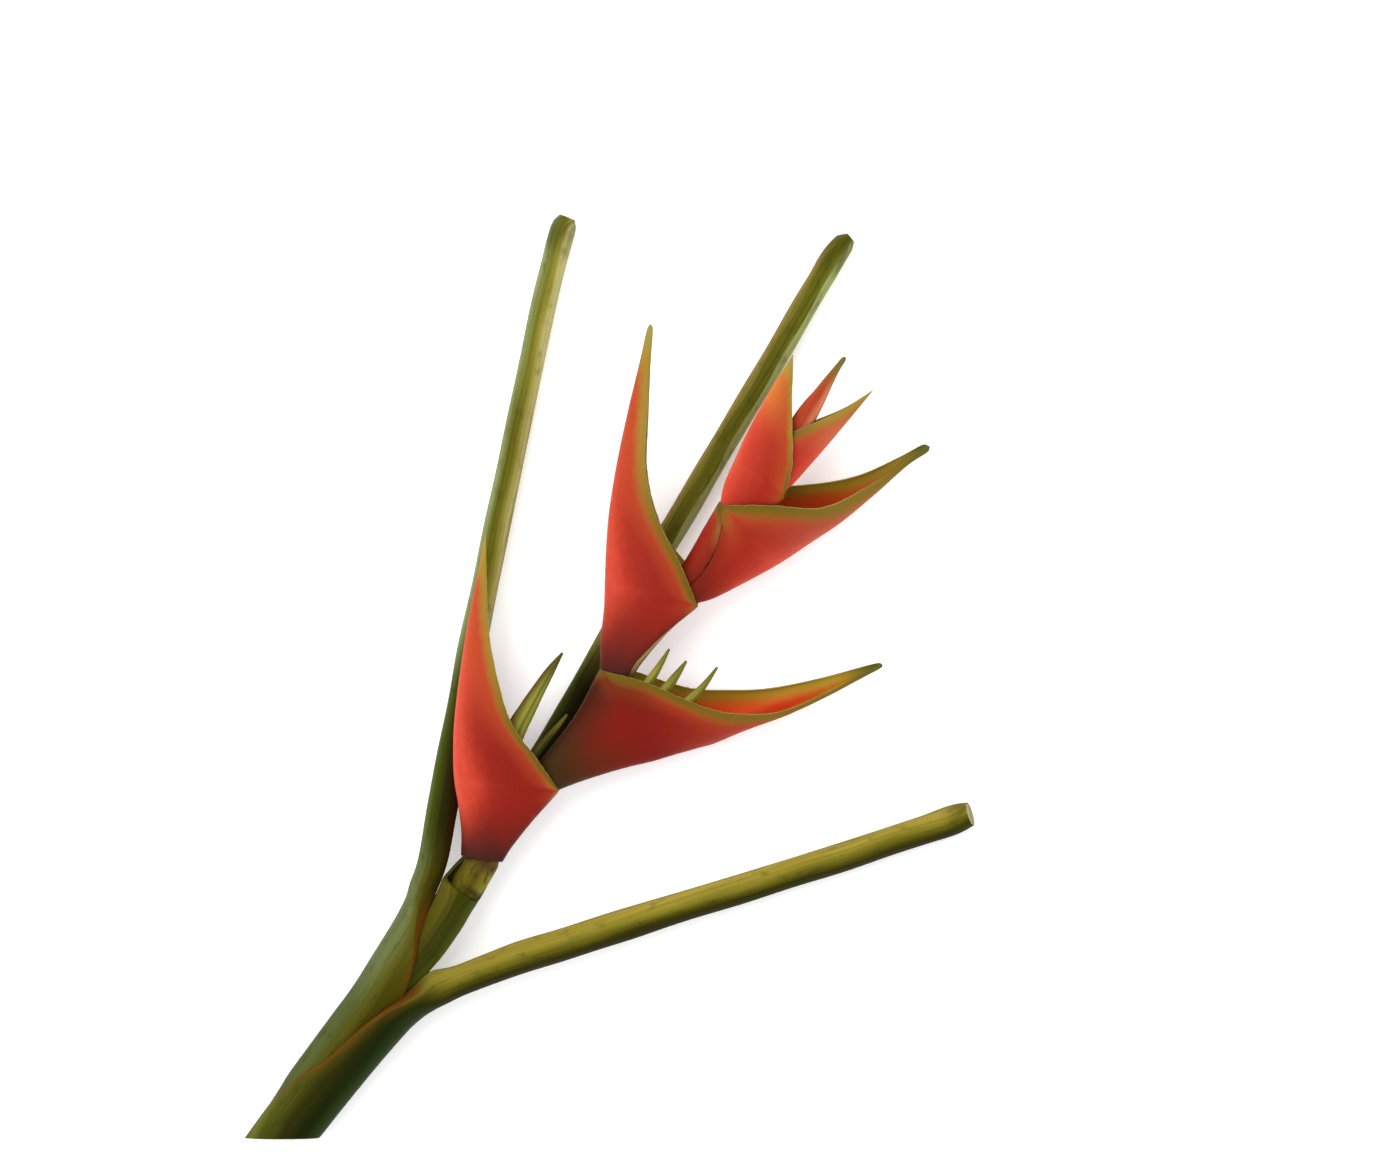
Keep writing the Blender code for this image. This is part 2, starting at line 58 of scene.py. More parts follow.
def in_frame(points):
    """Points in the ruler's millimetres as metres in the frame, none of them below the table."""
    points = np.array(points, float)
    points[..., :2] -= FOOTPRINT_MIDDLE
    points[..., 2] = np.maximum(points[..., 2], 0)
    return points * MM


# %% Colours as they show on the screen
# How much brighter than its paint a flat place shows under the table's light
LIGHT = 1.42


def display(red, green, blue):
    """The paint that shows as this screen colour, 0 to 255, on a flat place, by the screen's own curve."""
    share = np.array([red, green, blue]) / 255
    seen = np.where(share <= 0.04045, share / 12.92, ((share + 0.055) / 1.055) ** 2.4)
    return (*(seen / LIGHT), 1)


# %% [markdown]
# The camera hangs far above the table with a long lens, so that near and far parts keep their sizes, and
# it is turned so that the stem leans to the right. The stem's lower end leaves the picture.

# %% Camera
PICTURE_WIDTH = 500 * MM
STEM_LEAN = radians(36)
PICTURE_MIDDLE = (0.675, 251.0)
CAMERA_HEIGHT = 4.0
FLOWER_HEIGHT = 18 * MM

lens = bpy.data.cameras.new("camera")
lens.sensor_width = 36
lens.lens = lens.sensor_width * (CAMERA_HEIGHT - FLOWER_HEIGHT) / PICTURE_WIDTH
lens.clip_end = 20
camera = bpy.data.objects.new("camera", lens)
bpy.context.scene.collection.objects.link(camera)
aim = in_frame([*PICTURE_MIDDLE, 0])
camera.matrix_world = Matrix.Translation((aim[0], aim[1], CAMERA_HEIGHT)) @ Matrix.Rotation(STEM_LEAN, 4, "Z")
bpy.context.scene.camera = camera
print("lens", round(lens.lens), "mm")

# %% [markdown]
# The light is one large soft lamp from the upper left of the picture and a bright even sky, so the shadow
# stays faint and close. The table glows a little of itself, like a light table, which thins the shadow
# further. The plain display setting keeps the reds as strong as they are mixed.

# %% Lamp and sky
LAMP_SIDE = (-0.45, 0.45)
LAMP_HEIGHT = 1.2
LAMP_SIZE = 0.9
LAMP_WATTS = 8
SKY_STRENGTH = 1.2

bpy.context.scene.view_settings.view_transform = "Standard"
light = bpy.data.lights.new("key_lamp", "AREA")
light.size = LAMP_SIZE
light.energy = LAMP_WATTS
lamp = bpy.data.objects.new("key_lamp", light)
bpy.context.scene.collection.objects.link(lamp)
lamp.location = Matrix.Rotation(STEM_LEAN, 3, "Z") @ Vector((*LAMP_SIDE, LAMP_HEIGHT))
lamp.rotation_euler = (-lamp.location).to_track_quat("-Z", "Y").to_euler()
sky = bpy.data.worlds.new("sky")
sky.use_nodes = True
sky.node_tree.nodes["Background"].inputs["Color"].default_value = (1, 1, 1, 1)
sky.node_tree.nodes["Background"].inputs["Strength"].default_value = SKY_STRENGTH
bpy.context.scene.world = sky
print("lamp", LAMP_WATTS, "W, sky", SKY_STRENGTH)

# %% White table
TABLE_SIZE = 6
TABLE_DROP = 0.2 * MM
TABLE_LOOK = {"Base Color": (0.97, 0.97, 0.97, 1), "Roughness": 0.8, "Specular IOR Level": 0.1,
              "Emission Color": (1, 1, 1, 1), "Emission Strength": 0.22}

bpy.ops.mesh.primitive_plane_add(size=TABLE_SIZE)
table = bpy.context.object
table.name = "table"
table.location.z = -TABLE_DROP
table_finish = bpy.data.materials.new("white_table")
table_finish.use_nodes = True
for socket, value in TABLE_LOOK.items():
    table_finish.node_tree.nodes["Principled BSDF"].inputs[socket].default_value = value
table.data.materials.append(table_finish)
print("table", TABLE_SIZE, "m wide")

# %% [markdown]
# Bracts, stalks and sheaths are all surfaces run through a few measured rows. A smooth curve through the
# rows gives as many rows in between as the eye wants, without more measurements.

# %% Curves through measured rows
def bend(a, b, slope_a, slope_b, f):
    """The place f of the way along a smooth curve from a to b with these slopes at its ends."""
    return ((2 * f**3 - 3 * f**2 + 1) * a + (f**3 - 2 * f**2 + f) * slope_a
            + (3 * f**2 - 2 * f**3) * b + (f**3 - f**2) * slope_b)


def smooth(rows, places):
    """Rows read off at the places, as a curve through all of them; a place counts rows."""
    rows = np.asarray(rows, float)
    slopes = np.gradient(rows, axis=0)
    first = np.clip(np.floor(places).astype(int), 0, len(rows) - 2)
    f = (np.asarray(places) - first).reshape(-1, *[1] * (rows.ndim - 1))
    return bend(rows[first], rows[first + 1], slopes[first], slopes[first + 1], f)


def way_along(points):
    """How far each point lies from the first, along the line of points."""
    return np.concatenate([[0], np.cumsum(np.linalg.norm(np.diff(points, axis=0), axis=1))])


def ease(value, low, high):
    """0 at low, 1 at high, and a soft step between; low may lie above high."""
    t = np.clip((value - low) / (high - low), 0, 1)
    return t * t * (3 - 2 * t)


def unit(v):
    return v / np.linalg.norm(v, axis=-1, keepdims=True)


# %% The axis and planes rolled about it
# Height of the stem's axis over the table: y, z
AXIS_HEIGHT = np.array([(-10, 10.0), (10, 10.0), (20, 10.7), (60, 14.3), (110, 18.0), (160, 22.0),
                        (205, 24.5), (245, 26.0), (280, 26.5), (350, 26.5)])


def axis_height(y):
    return np.interp(y, AXIS_HEIGHT[:, 0], AXIS_HEIGHT[:, 1])


def rolled(x, y, rise, roll):
    """A place seen from above at (x, y), rise off a plane through the axis that is rolled about it."""
    a = radians(roll)
    return np.stack([x + rise * sin(a), y, axis_height(y) + rise * cos(a) - x * tan(a)], -1)


# %% [markdown]
# Each piece is a stack of closed rings. The numbers that its finish needs, such as how far a point lies
# from the lip, are stored on the points under a plain name, and the material reads them back.

# %% From rings to a piece
SHARP_EDGE = radians(50)


def skin_faces(rows, count):
    """Four-cornered faces between each ring and the next."""
    here = (np.arange(rows - 1) * count)[:, None]
    j = np.arange(count)
    k = (j + 1) % count
    return np.stack([here + j, here + k, here + count + k, here + count + j], -1).reshape(-1, 4).tolist()


def cut_faces(first, count):
    """A flat strip of faces that closes the ring whose points begin at first."""
    strip = [(first + a, first + a + 1, first + count - 2 - a, first + count - 1 - a)
             for a in range(count // 2 - 1)]
    return [face[::-1] for face in strip] if first == 0 else strip


def ring_piece(name, rings, facts, finishes, node, ends=(False, False), tip=None):
    """One mesh from closed rings: outer side first, then the inner side that comes back. It rides on the
    root and stands for its node. ends: whether each end is closed by a flat cut face, in the last finish.
    tip: a point that all of the last ring runs to."""
    rings = np.array(rings)
    rows, count = rings.shape[:2]
    points = rings.reshape(-1, 3)
    last = (rows - 1) * count
    faces = skin_faces(rows, count)
    if tip is not None:
        faces += [(last + j, last + (j + 1) % count, len(points)) for j in range(count)]
        points = np.vstack([points, tip])
        facts = {fact: np.append(value, value[last:].max()) for fact, value in facts.items()}
    uncut = len(faces)
    for closed, first in zip(ends, (0, last)):
        if closed:
            faces += cut_faces(first, count)
    mesh = bpy.data.meshes.new(name)
    mesh.from_pydata(in_frame(points).tolist(), [], faces)
    corners = points[[face[:3] for face in faces[:uncut]]]
    if np.linalg.det(corners - points.mean(0)).sum() < 0:
        mesh.flip_normals()
    for fact, value in facts.items():
        stored = mesh.attributes.new(fact, "FLOAT", "POINT")
        stored.data.foreach_set("value", np.ravel(value).astype(np.float32))
    for finish in finishes:
        mesh.materials.append(finish)
    which = [0] * uncut + [len(finishes) - 1] * (len(faces) - uncut)
    mesh.polygons.foreach_set("material_index", which)
    mesh.shade_smooth()
    mesh.set_sharp_from_angle(angle=SHARP_EDGE)
    piece = bpy.data.objects.new(name, mesh)
    bpy.context.scene.collection.objects.link(piece)
    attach(piece, "root")
    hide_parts(node)
    print(name, len(faces), "faces")


# %% [markdown]
# A finish is painted in layers, as one would with a brush: a ground colour, then a wash that fades in
# where some fact about the place rises from one value to another. This helper keeps each layer to a line.

# %% Wires between nodes
class Wiring:
    """Builds one material's nodes. Every method returns the socket that holds its result."""

    def __init__(self, name):
        self.material = bpy.data.materials.new(name)
        self.material.use_nodes = True
        self.tree = self.material.node_tree
        self.shader = self.tree.nodes["Principled BSDF"]

    def node(self, kind, inputs=(), **settings):
        made = self.tree.nodes.new(kind)
        for setting, value in settings.items():
            setattr(made, setting, value)
        for socket, value in inputs:
            self.wire(made.inputs[socket], value)
        return made

    def wire(self, socket, value):
        if isinstance(value, bpy.types.NodeSocket):
            self.tree.links.new(value, socket)
        else:
            socket.default_value = value

    def fact(self, name):
        return self.node("ShaderNodeAttribute", attribute_name=name).outputs["Fac"]

    def maths(self, operation, *values):
        return self.node("ShaderNodeMath", enumerate(values), operation=operation).outputs[0]

    def both(self, *covers):
        """Covers multiplied: full only where each of them is full."""
        result = covers[0]
        for cover in covers[1:]:
            result = self.maths("MULTIPLY", result, cover)
        return result

    def plus(self, value, other, times):
        """The value plus so many times the other one."""
        return self.maths("MULTIPLY_ADD", other, times, value)

    def distance(self, a, b):
        """How far off a place is that lies a one way and b the other."""
        return self.maths("SQRT", self.maths("ADD", self.both(a, a), self.both(b, b)))

    def step(self, value, low, high):
        """0 where value is at low, 1 at high, soft between; low may lie above high."""
        made = self.node("ShaderNodeMapRange", [("Value", value), ("From Min", low), ("From Max", high)])
        made.interpolation_type = "SMOOTHSTEP"
        return made.outputs["Result"]


# %% A small paint box
# The colour sockets of Blender's Mix node
MIX_GROUND, MIX_COLOUR, MIX_RESULT = 6, 7, 2


class Paint(Wiring):
    """Paints one material, layer by layer."""

    def layer(self, ground, colour, *covers):
        """The colour over the ground, as far as all of the covers let it through."""
        cover = self.both(*covers)
        made = self.node("ShaderNodeMix", data_type="RGBA")
        self.wire(made.inputs["Factor"], cover)
        self.wire(made.inputs[MIX_GROUND], ground)
        self.wire(made.inputs[MIX_COLOUR], colour)
        return made.outputs[MIX_RESULT]

    def ramp(self, value, stops):
        """Colours at stops of a value from -1 to 1, blended in between."""
        made = self.node("ShaderNodeValToRGB", [(0, self.plus(0.5, value, 0.5))])
        bar = made.color_ramp.elements
        bar.remove(bar[1])
        bar[0].position, bar[0].color = (stops[0][0] + 1) / 2, display(*stops[0][1])
        for place, colour in stops[1:]:
            bar.new((place + 1) / 2).color = display(*colour)
        return made.outputs["Color"]

    def brighten(self, colour, factor):
        """The colour times a factor, which may vary over the piece."""
        made = self.node("ShaderNodeVectorMath", [(0, colour), ("Scale", factor)], operation="SCALE")
        return made.outputs[0]

    def cloud(self, along, across, detail=2.0, seed=0.0):
        """Noise with patches of a given size in millimetres, lying along the piece."""
        place = self.node("ShaderNodeCombineXYZ", [
            (0, self.maths("DIVIDE", self.fact("along_mm"), along)),
            (1, self.maths("DIVIDE", self.fact("across_mm"), across)), (2, seed)]).outputs[0]
        noise = self.node("ShaderNodeTexNoise", [("Vector", place), ("Scale", 1.0), ("Detail", detail)])
        return noise.outputs[0]

    def drift(self, *cloud):
        """A cloud that goes as far below zero as above it."""
        return self.maths("SUBTRACT", self.cloud(*cloud), 0.5)

    def specks(self, spacing, size, share):
        """Small round dots: 1 inside a dot. Only a share of the cells holds one."""
        place = self.node("ShaderNodeCombineXYZ", [
            (0, self.fact("along_mm")), (1, self.fact("across_mm"))]).outputs[0]
        cell = self.node("ShaderNodeTexVoronoi", [("Vector", place), ("Scale", 1 / spacing)])
        dot = self.step(cell.outputs["Distance"], size / spacing, 0.4 * size / spacing)
        lot = self.node("ShaderNodeSeparateColor", [(0, cell.outputs["Color"])]).outputs[0]
        return self.both(dot, self.maths("LESS_THAN", lot, share))

    def relief(self, height, depth_mm):
        """Bump from a height of 0 to 1 that is depth_mm deep."""
        settings = [("Strength", 1.0), ("Distance", depth_mm * MM), ("Height", height)]
        self.wire(self.shader.inputs["Normal"], self.node("ShaderNodeBump", settings).outputs[0])

    def done(self, colour, roughness, specular):
        self.wire(self.shader.inputs["Base Color"], colour)
        self.wire(self.shader.inputs["Roughness"], roughness)
        self.shader.inputs["Specular IOR Level"].default_value = specular
        return self.material


# %% [markdown]
# A bract is a leaf folded into a boat. Its keel is a light coral, partly its own colour and partly a painted
# highlight; its flanks are a deep matt red, darker in their middle as painted shade, that turns orange
# towards the lip, and a green band runs along the lip itself, edged with a thread of dry pale tissue. The
# foot, where it clasps the axis, is dark. All of that follows from how far a point lies from the lip, from
# the keel and from the foot.

# %% Colours of the bracts
ORANGE = display(186, 96, 36)
HAZE = display(186, 72, 34)
GLOW = display(222, 98, 56)
GLOW_YELLOW = display(238, 154, 62)
GLOW_PINK = display(244, 146, 104)
# Painted shade that darkens the middle of a bract's flank
PAINTED_SHADE_RED = display(134, 24, 14)
INSIDE_RED = display(208, 78, 28)
INSIDE_DEEP = display(180, 48, 8)
INSIDE_OLIVE = display(150, 126, 34)
OLIVE = display(108, 92, 14)
PALE_OLIVE = display(166, 134, 50)
CORNER_YELLOW = display(184, 120, 36)
# Painted shade along the clasp's edge
CLASP_SHADE = display(66, 20, 10)
YELLOW = display(184, 146, 54)
PALE_GREEN = display(158, 150, 72)
DARK_GREEN = display(98, 96, 32)
DRY_EDGE = display(206, 182, 124)
# The clasp's dry brown rim, partly a painted shadow of the upper flap's edge
CLASP_RIM_AND_SHADOW = display(70, 28, 14)
VEIN_BROWN = display(84, 30, 20)
FOOT_PURPLE = display(66, 30, 24)
FOOT_OLIVE = display(58, 44, 8)
FOOT_RED = display(118, 30, 10)

# From keel to lip, the keel at 0 and the lip at 1; the coral at the keel is partly its own colour and partly
# a painted highlight
FLANK = [(0, (238, 100, 74)), (0.1, (222, 78, 56)), (0.28, (200, 60, 40)), (0.6, (176, 44, 27)),
         (0.95, (176, 50, 28))]


# %% [markdown]
# The next cells paint one bract, each a part of it that one could point at. The two numbers of a step say
# where a cover starts and where it is full: in millimetres for the lip, the keel, the corner and the foot,
# and in shares of the length where it goes by up, the way up the bract.

# %% What a bract is painted by
def bract_paint(name):
    """A paint box that knows how a place lies on a bract, with clouds that let the colours run together."""
    paint = Paint(name)
    paint.lip, paint.keel = paint.fact("from_lip"), paint.fact("from_keel")
    paint.up, paint.past = paint.fact("up_bract"), paint.fact("past_corner")
    paint.inner = paint.fact("inner")
    paint.wide, paint.mottle = paint.drift(24, 7), paint.drift(3.5, 2.5, 3, 5.0)
    wavy_lip = paint.plus(paint.plus(paint.lip, paint.wide, 2.0), paint.mottle, 1.2)
    paint.soft_lip = paint.maths("MAXIMUM", wavy_lip, 0.0)
    behind = paint.both(paint.maths("MINIMUM", paint.past, 0.0), 1.3)
    paint.open_lip = paint.distance(paint.soft_lip, behind)
    paint.clasp = paint.step(paint.past, 0.5, -1.5)
    return paint


# %% Flanks and keel
def flanks(paint, deep, heart_from, glow, lightness, glow_from):
    """Coral keel, partly a painted highlight, red flank with a heart darkened by painted shade, and the glow
    of the upper half.
    """
    whole = paint.maths("ADD", paint.maths("ADD", paint.keel, paint.lip), 0.01)
    share = paint.plus(paint.maths("DIVIDE", paint.keel, whole), paint.wide, 0.16)
    share = paint.plus(share, paint.mottle, 0.1)
    colour = paint.ramp(share, FLANK)
    # Painted shade: the flank's heart darkens to a deep red
    colour = paint.layer(colour, PAINTED_SHADE_RED, paint.step(share, heart_from, heart_from + 0.38),
                         paint.step(paint.up, 0.66, 0.3), deep)
    return paint.layer(colour, glow, paint.step(paint.up, glow_from, glow_from + 0.45), lightness)


# %% Orange margin and corner
def margin(paint, colour, band, haze, corner, corner_shade):
    """The wide orange haze along the open lip, the spot at its corner, and the painted shade that browns the
    corner where corner_shade asks for it.
    """
    colour = paint.layer(colour, HAZE, paint.step(paint.open_lip, band * 2 + 8, band), haze)
    colour = paint.layer(colour, ORANGE, paint.step(paint.open_lip, band * 2, band * 0.7), haze)
    spot = paint.distance(paint.past, paint.lip)
    colour = paint.layer(colour, CORNER_YELLOW, paint.step(spot, 7, 1), corner)
    # Painted shade under the next bract's foot, browning the corner
    colour = paint.layer(colour, FOOT_OLIVE, paint.step(spot, 22, 3), corner_shade)
    return paint.layer(colour, YELLOW, paint.step(paint.up, 0.82, 0.95))


# %% Foot and clasp
def foot_and_clasp(paint, colour, foot, foot_reach, shade, shade_reach, strip, strip_width, strip_from):
    """The dark foot, the painted shade along the clasp's edge, and the bare strip of the flap underneath."""
    # Painted shade along the clasp's edge
    colour = paint.layer(colour, CLASP_SHADE, paint.step(paint.soft_lip, shade_reach, 0),
                         paint.step(paint.past, -1, -7), shade)
    reach = paint.plus(paint.fact("along_mm"), paint.wide, 10)
    colour = paint.layer(colour, foot, paint.step(reach, foot_reach, 0), 0.95)
    return paint.layer(colour, strip, paint.fact("under_flap"), paint.clasp,
                       paint.step(paint.up, strip_from, strip_from + 0.1),
                       paint.step(paint.soft_lip, strip_width, 0.3 * strip_width))


# %% Inside of the boat
def hollow(paint, colour, inner_band, inside_light):
    """The orange inside, deeper along the keel, with an olive band along its lip, brightened by inside_light
    as painted light.
    """
    inside = paint.layer(INSIDE_DEEP, INSIDE_RED, paint.step(paint.keel, 1.0, 5))
    inside = paint.layer(inside, INSIDE_OLIVE, paint.step(paint.soft_lip, inner_band * 2.4, inner_band * 0.4))
    # Painted light: the inside's colour is brightened
    return paint.layer(colour, paint.brighten(inside, inside_light), paint.inner)


# %% Green lip and tip
def green_lip(paint, colour, band, pale_lip, tip, tip_from):
    """The green band along the outer side of the lip, paler towards the tip, and the tip itself."""
    green = paint.layer(OLIVE, PALE_OLIVE, paint.step(paint.up, 0.3, 0.7), pale_lip)
    near = paint.step(paint.plus(paint.open_lip, paint.mottle, 1.5), band * 2, band * 0.15)
    colour = paint.layer(colour, green, near, paint.maths("SUBTRACT", 1.0, paint.inner))
    return paint.layer(colour, tip, paint.step(paint.up, tip_from, 0.98), 0.9)


# %% Veins, specks and dry edge
def fine_marks(paint, colour):
    """Brown veins, a few pale specks, the clasp's brown rim, partly a painted shadow of the upper flap's
    edge, and the dry thread along the open lip.
    """
    veins = paint.cloud(60, 0.5, 3)
    colour = paint.layer(colour, VEIN_BROWN, paint.step(veins, 0.5, 0.85), 0.14)
    colour = paint.layer(colour, DRY_EDGE, paint.specks(8, 0.17, 0.3), 0.5)
    ragged = paint.plus(paint.lip, paint.cloud(0.8, 2, 1, 7.0), 0.3)
    # The clasp's brown rim, partly a painted shadow of the upper flap's edge
    colour = paint.layer(colour, CLASP_RIM_AND_SHADOW, paint.step(ragged, 0.4, 0.2), paint.clasp, 0.9)
    colour = paint.layer(colour, DRY_EDGE, paint.step(ragged, 0.36, 0.18), paint.step(paint.past, 0, 2),
                         paint.step(paint.up, 0.9, 0.7), 0.6)
    paint.relief(paint.plus(veins, paint.cloud(0.5, 0.35, 1, 3.0), 0.4), 0.12)
    return colour


# %% The whole finish of a bract
def bract_finish(name, foot, foot_reach, band, deep, lightness, glow=GLOW, haze=0.6, corner=0.6,
                 inner_band=3.0, tip=PALE_GREEN, tip_from=0.9, shade=0.3, shade_reach=4, strip=DRY_EDGE,
                 strip_width=4.5, heart_from=0.12, corner_shade=0.0, glow_from=0.3, pale_lip=1.0,
                 strip_from=0.02, inside_light=1.4):
    """foot: colour at the foot. foot_reach: how far it goes, mm. band: width of the green band, mm.
    deep: how dark the painted shade in the flank's heart gets, and heart_from how close to the keel it
    reaches.
    lightness: how far the upper half turns to the glow, from glow_from up the bract. haze: how strong the
    wide
    orange margin is, and corner its spot at the corner. inner_band: width of the olive band inside, mm. tip:
    colour of the tip, from tip_from up the bract. shade: how dark the painted shade along the clasp's edge
    gets,
    within shade_reach mm. strip: colour of the under flap's bare margin, strip_width mm wide and from
    strip_from up the bract.
    corner_shade: how far the corner is browned by painted shade under the next bract's foot. pale_lip: how
    far the green band pales towards the tip.
    inside_light: how far the open inside is brightened, as painted light."""
    paint = bract_paint(name)
    colour = flanks(paint, deep, heart_from, glow, lightness, glow_from)
    colour = margin(paint, colour, band, haze, corner, corner_shade)
    colour = foot_and_clasp(paint, colour, foot, foot_reach, shade, shade_reach, strip, strip_width,
                            strip_from)
    colour = hollow(paint, colour, inner_band, inside_light)
    colour = green_lip(paint, colour, band, pale_lip, tip, tip_from)
    colour = fine_marks(paint, colour)
    return paint.done(colour, paint.plus(0.5, paint.mottle, 0.3), 0.06)


# %% [markdown]
# The form of each bract is a row of ribs from lip to keel. The first ribs clasp the axis as a closed
# sleeve, up to a sharp corner of the lip. Past it the lip falls away, and the two walls stand open to
# the tip. Each rib is half a drop: round at the lip side and narrow at the keel.

# %% Ribs of the six open bracts
# Each rib: lip x, y, keel x, y, half width, twist. The last row is the tip. corner: the corner rib. seam:
# degrees from the keel round to the seam of the clasp, foot to corner. peek: degrees by which the far lip
# stands above the near one just past the corner.
BRACTS = {
    "bract_1": dict(roll=3, seam=(168, 168, 168, 180), corner=3, peek=0, ribs=[
        (4.9, 127.0, -8.3, 120.3, 6.6, 0),
        (4.5, 134.0, -13.3, 127.4, 7.1, 0),
        (5.2, 147.0, -19.5, 134.2, 8.3, 0),
        (6.4, 160.0, -26.5, 141.2, 9.4, 0),
        (-5.5, 164.2, -32.5, 149.0, 9.4, 0),
        (-20.4, 169.0, -38.5, 158.0, 8.6, 0),
        (-33.4, 178.2, -46.3, 171.8, 7.2, 0),
        (-47.6, 191.6, -55.0, 188.8, 5.2, 0),
        (-58.3, 205.3, -62.0, 204.0, 3.1, 0),
        (-69.3, 219.7, -69.3, 219.7, 0.5, 0)]),
    "bract_2": dict(roll=13, seam=(176, 176, 176, 176, 180), corner=4, peek=0, ribs=[
        (-5.1, 159.4, 5.5, 157.1, 5.0, 0),
        (-5.0, 163.0, 6.6, 160.4, 5.3, 0),
        (-4.5, 173.0, 13.0, 169.9, 6.5, 0),
        (-4.5, 186.0, 21.0, 180.3, 7.5, 0),
        (-6.8, 204.0, 28.0, 188.5, 8.5, 0),
        (5.0, 209.8, 33.0, 195.0, 8.6, 6),
        (18.0, 213.4, 37.5, 200.8, 8.5, 12),
        (28.9, 217.0, 42.0, 207.0, 8.3, 20),
        (38.2, 222.3, 47.0, 216.9, 7.8, 32),
        (49.8, 231.5, 53.7, 229.2, 6.4, 42),
        (61.2, 246.1, 63.5, 244.8, 3.9, 44),
        (72.1, 262.9, 73.7, 261.9, 1.0, 44),
        (74.4, 265.0, 74.4, 265.0, 0.5, 44)]),
    "bract_3": dict(roll=-3, seam=(132, 134, 140, 160, 180), corner=4, peek=11, ribs=[
        (4.5, 203.3, -6.3, 200.6, 4.6, 0),
        (4.4, 207.0, -7.4, 204.3, 4.9, 0),
        (3.8, 214.5, -12.8, 211.9, 6.2, 0),
        (4.9, 229.0, -18.6, 222.0, 7.4, 0),
        (7.9, 243.0, -24.5, 230.8, 8.7, 0),
        (-5.0, 251.2, -31.0, 240.5, 8.4, 0),
        (-22.5, 260.2, -38.0, 252.0, 8.0, 0),
        (-36.2, 272.4, -46.0, 267.8, 6.6, 0),
        (-47.4, 288.9, -54.0, 285.8, 4.8, 0),
        (-56.9, 303.2, -60.5, 301.5, 2.8, 0),
        (-63.2, 313.5, -65.2, 312.5, 1.1, 0),
        (-65.3, 315.2, -65.3, 315.2, 0.5, 0)]),
    "bract_4": dict(roll=22, seam=(107, 105, 104, 106, 109, 116, 126, 142, 179), corner=4, peek=0, ribs=[
        (-4.7, 242.6, 5.2, 239.9, 3.8, 0),
        (-5.0, 247.0, 6.9, 243.3, 4.1, 0),
        (-5.2, 255.5, 11.0, 248.7, 5.4, 0),
        (-6.3, 266.5, 16.5, 259.3, 7.0, 0),
        (-7.2, 277.4, 22.3, 271.5, 8.6, 0),
        (4.0, 288.5, 26.0, 281.8, 8.8, 12),
        (18.5, 299.5, 30.2, 296.0, 7.2, 34),
        (29.3, 314.0, 35.2, 312.3, 4.5, 20),
        (36.4, 328.6, 38.9, 328.0, 2.6, 15),
        (39.9, 337.3, 42.3, 336.3, 1.3, 15),
        (41.8, 338.7, 41.8, 338.7, 0.5, 20)]),
    "bract_5": dict(roll=3, seam=(166, 166, 166, 180), corner=3, peek=0, ribs=[
        (4.4, 274.6, -5.4, 273.4, 4.0, 0),
        (6.2, 278.5, -7.2, 277.4, 4.3, 0),
        (8.8, 285.0, -10.2, 284.0, 5.0, 0),
        (9.9, 293.0, -12.3, 293.5, 6.4, 0),
        (5.2, 304.0, -14.3, 303.5, 6.5, 0),
        (-2.2, 314.4, -15.8, 314.0, 5.4, 0),
        (-8.6, 323.0, -16.8, 323.5, 4.2, 0),
        (-13.2, 330.0, -17.2, 330.5, 2.5, 0),
        (-17.6, 336.4, -17.6, 336.4, 0.5, 0)]),
    "bract_6": dict(roll=8, seam=(174, 174, 174, 180), corner=3, peek=0, ribs=[
        (-3.1, 292.0, 5.4, 290.2, 2.9, 0),
        (-3.2, 297.5, 9.0, 294.9, 3.3, 0),
        (-3.4, 304.0, 10.2, 300.5, 3.7, 0),
        (-3.2, 311.0, 10.9, 307.5, 4.1, 0),
        (0.6, 317.5, 11.6, 315.0, 4.2, 0),
        (4.9, 324.5, 12.2, 323.0, 3.4, 0),
        (9.4, 332.5, 12.8, 331.5, 2.2, 0),
        (13.5, 343.3, 13.5, 343.3, 0.5, 0)]),
}
print("open bracts:", len(BRACTS))

# %% One rib's outline
# Degrees from the keel to the lip of an open rib
LIP_ANGLE = 125
KEEL_WALL = 0.9
LIP_WALL = 0.35
# The wall thins over the last few millimetres before the lip
LIP_THINS = 5
# Near the tip the boat fills up, from one depth to the other, mm
HOLLOW_DEPTH = 5.0
SOLID_DEPTH = 2.2
# The clasp's upper flap lifts off the lower one, mm, over the last degrees before its seam
CLASP_LIFT = 0.5
LIFT_FROM, LIFT_FULL = 45, 15
# How many ribs past the corner the far lip peeks out, and over how many of them it goes
PEEK_END, PEEK_FADE = 1.55, 0.55
ACROSS_HALF = 24
SPREAD = np.sin(np.linspace(0, np.pi / 2, ACROSS_HALF + 1))


def lobe(angle, sharpness):
    """A rib's height over its middle: half a round at sharpness 0, a drop that narrows to the keel at 1."""
    return np.abs(np.sin(angle)) ** (1 - 0.2 * sharpness) * np.abs(np.sin(angle / 2)) ** (0.4 * sharpness)


def boat_outline(depth, half_width, sharpness, degrees):
    """A rib from far lip round the keel to near lip: distance from the keel, and height."""
    angle = np.radians(degrees)
    peak = lobe(np.linspace(0, np.pi, 90), sharpness).max()
    rise = np.sign(np.sin(angle)) * lobe(angle, sharpness) / peak
    return np.stack([depth * (1 - np.cos(angle)) / 2, half_width * rise], -1)


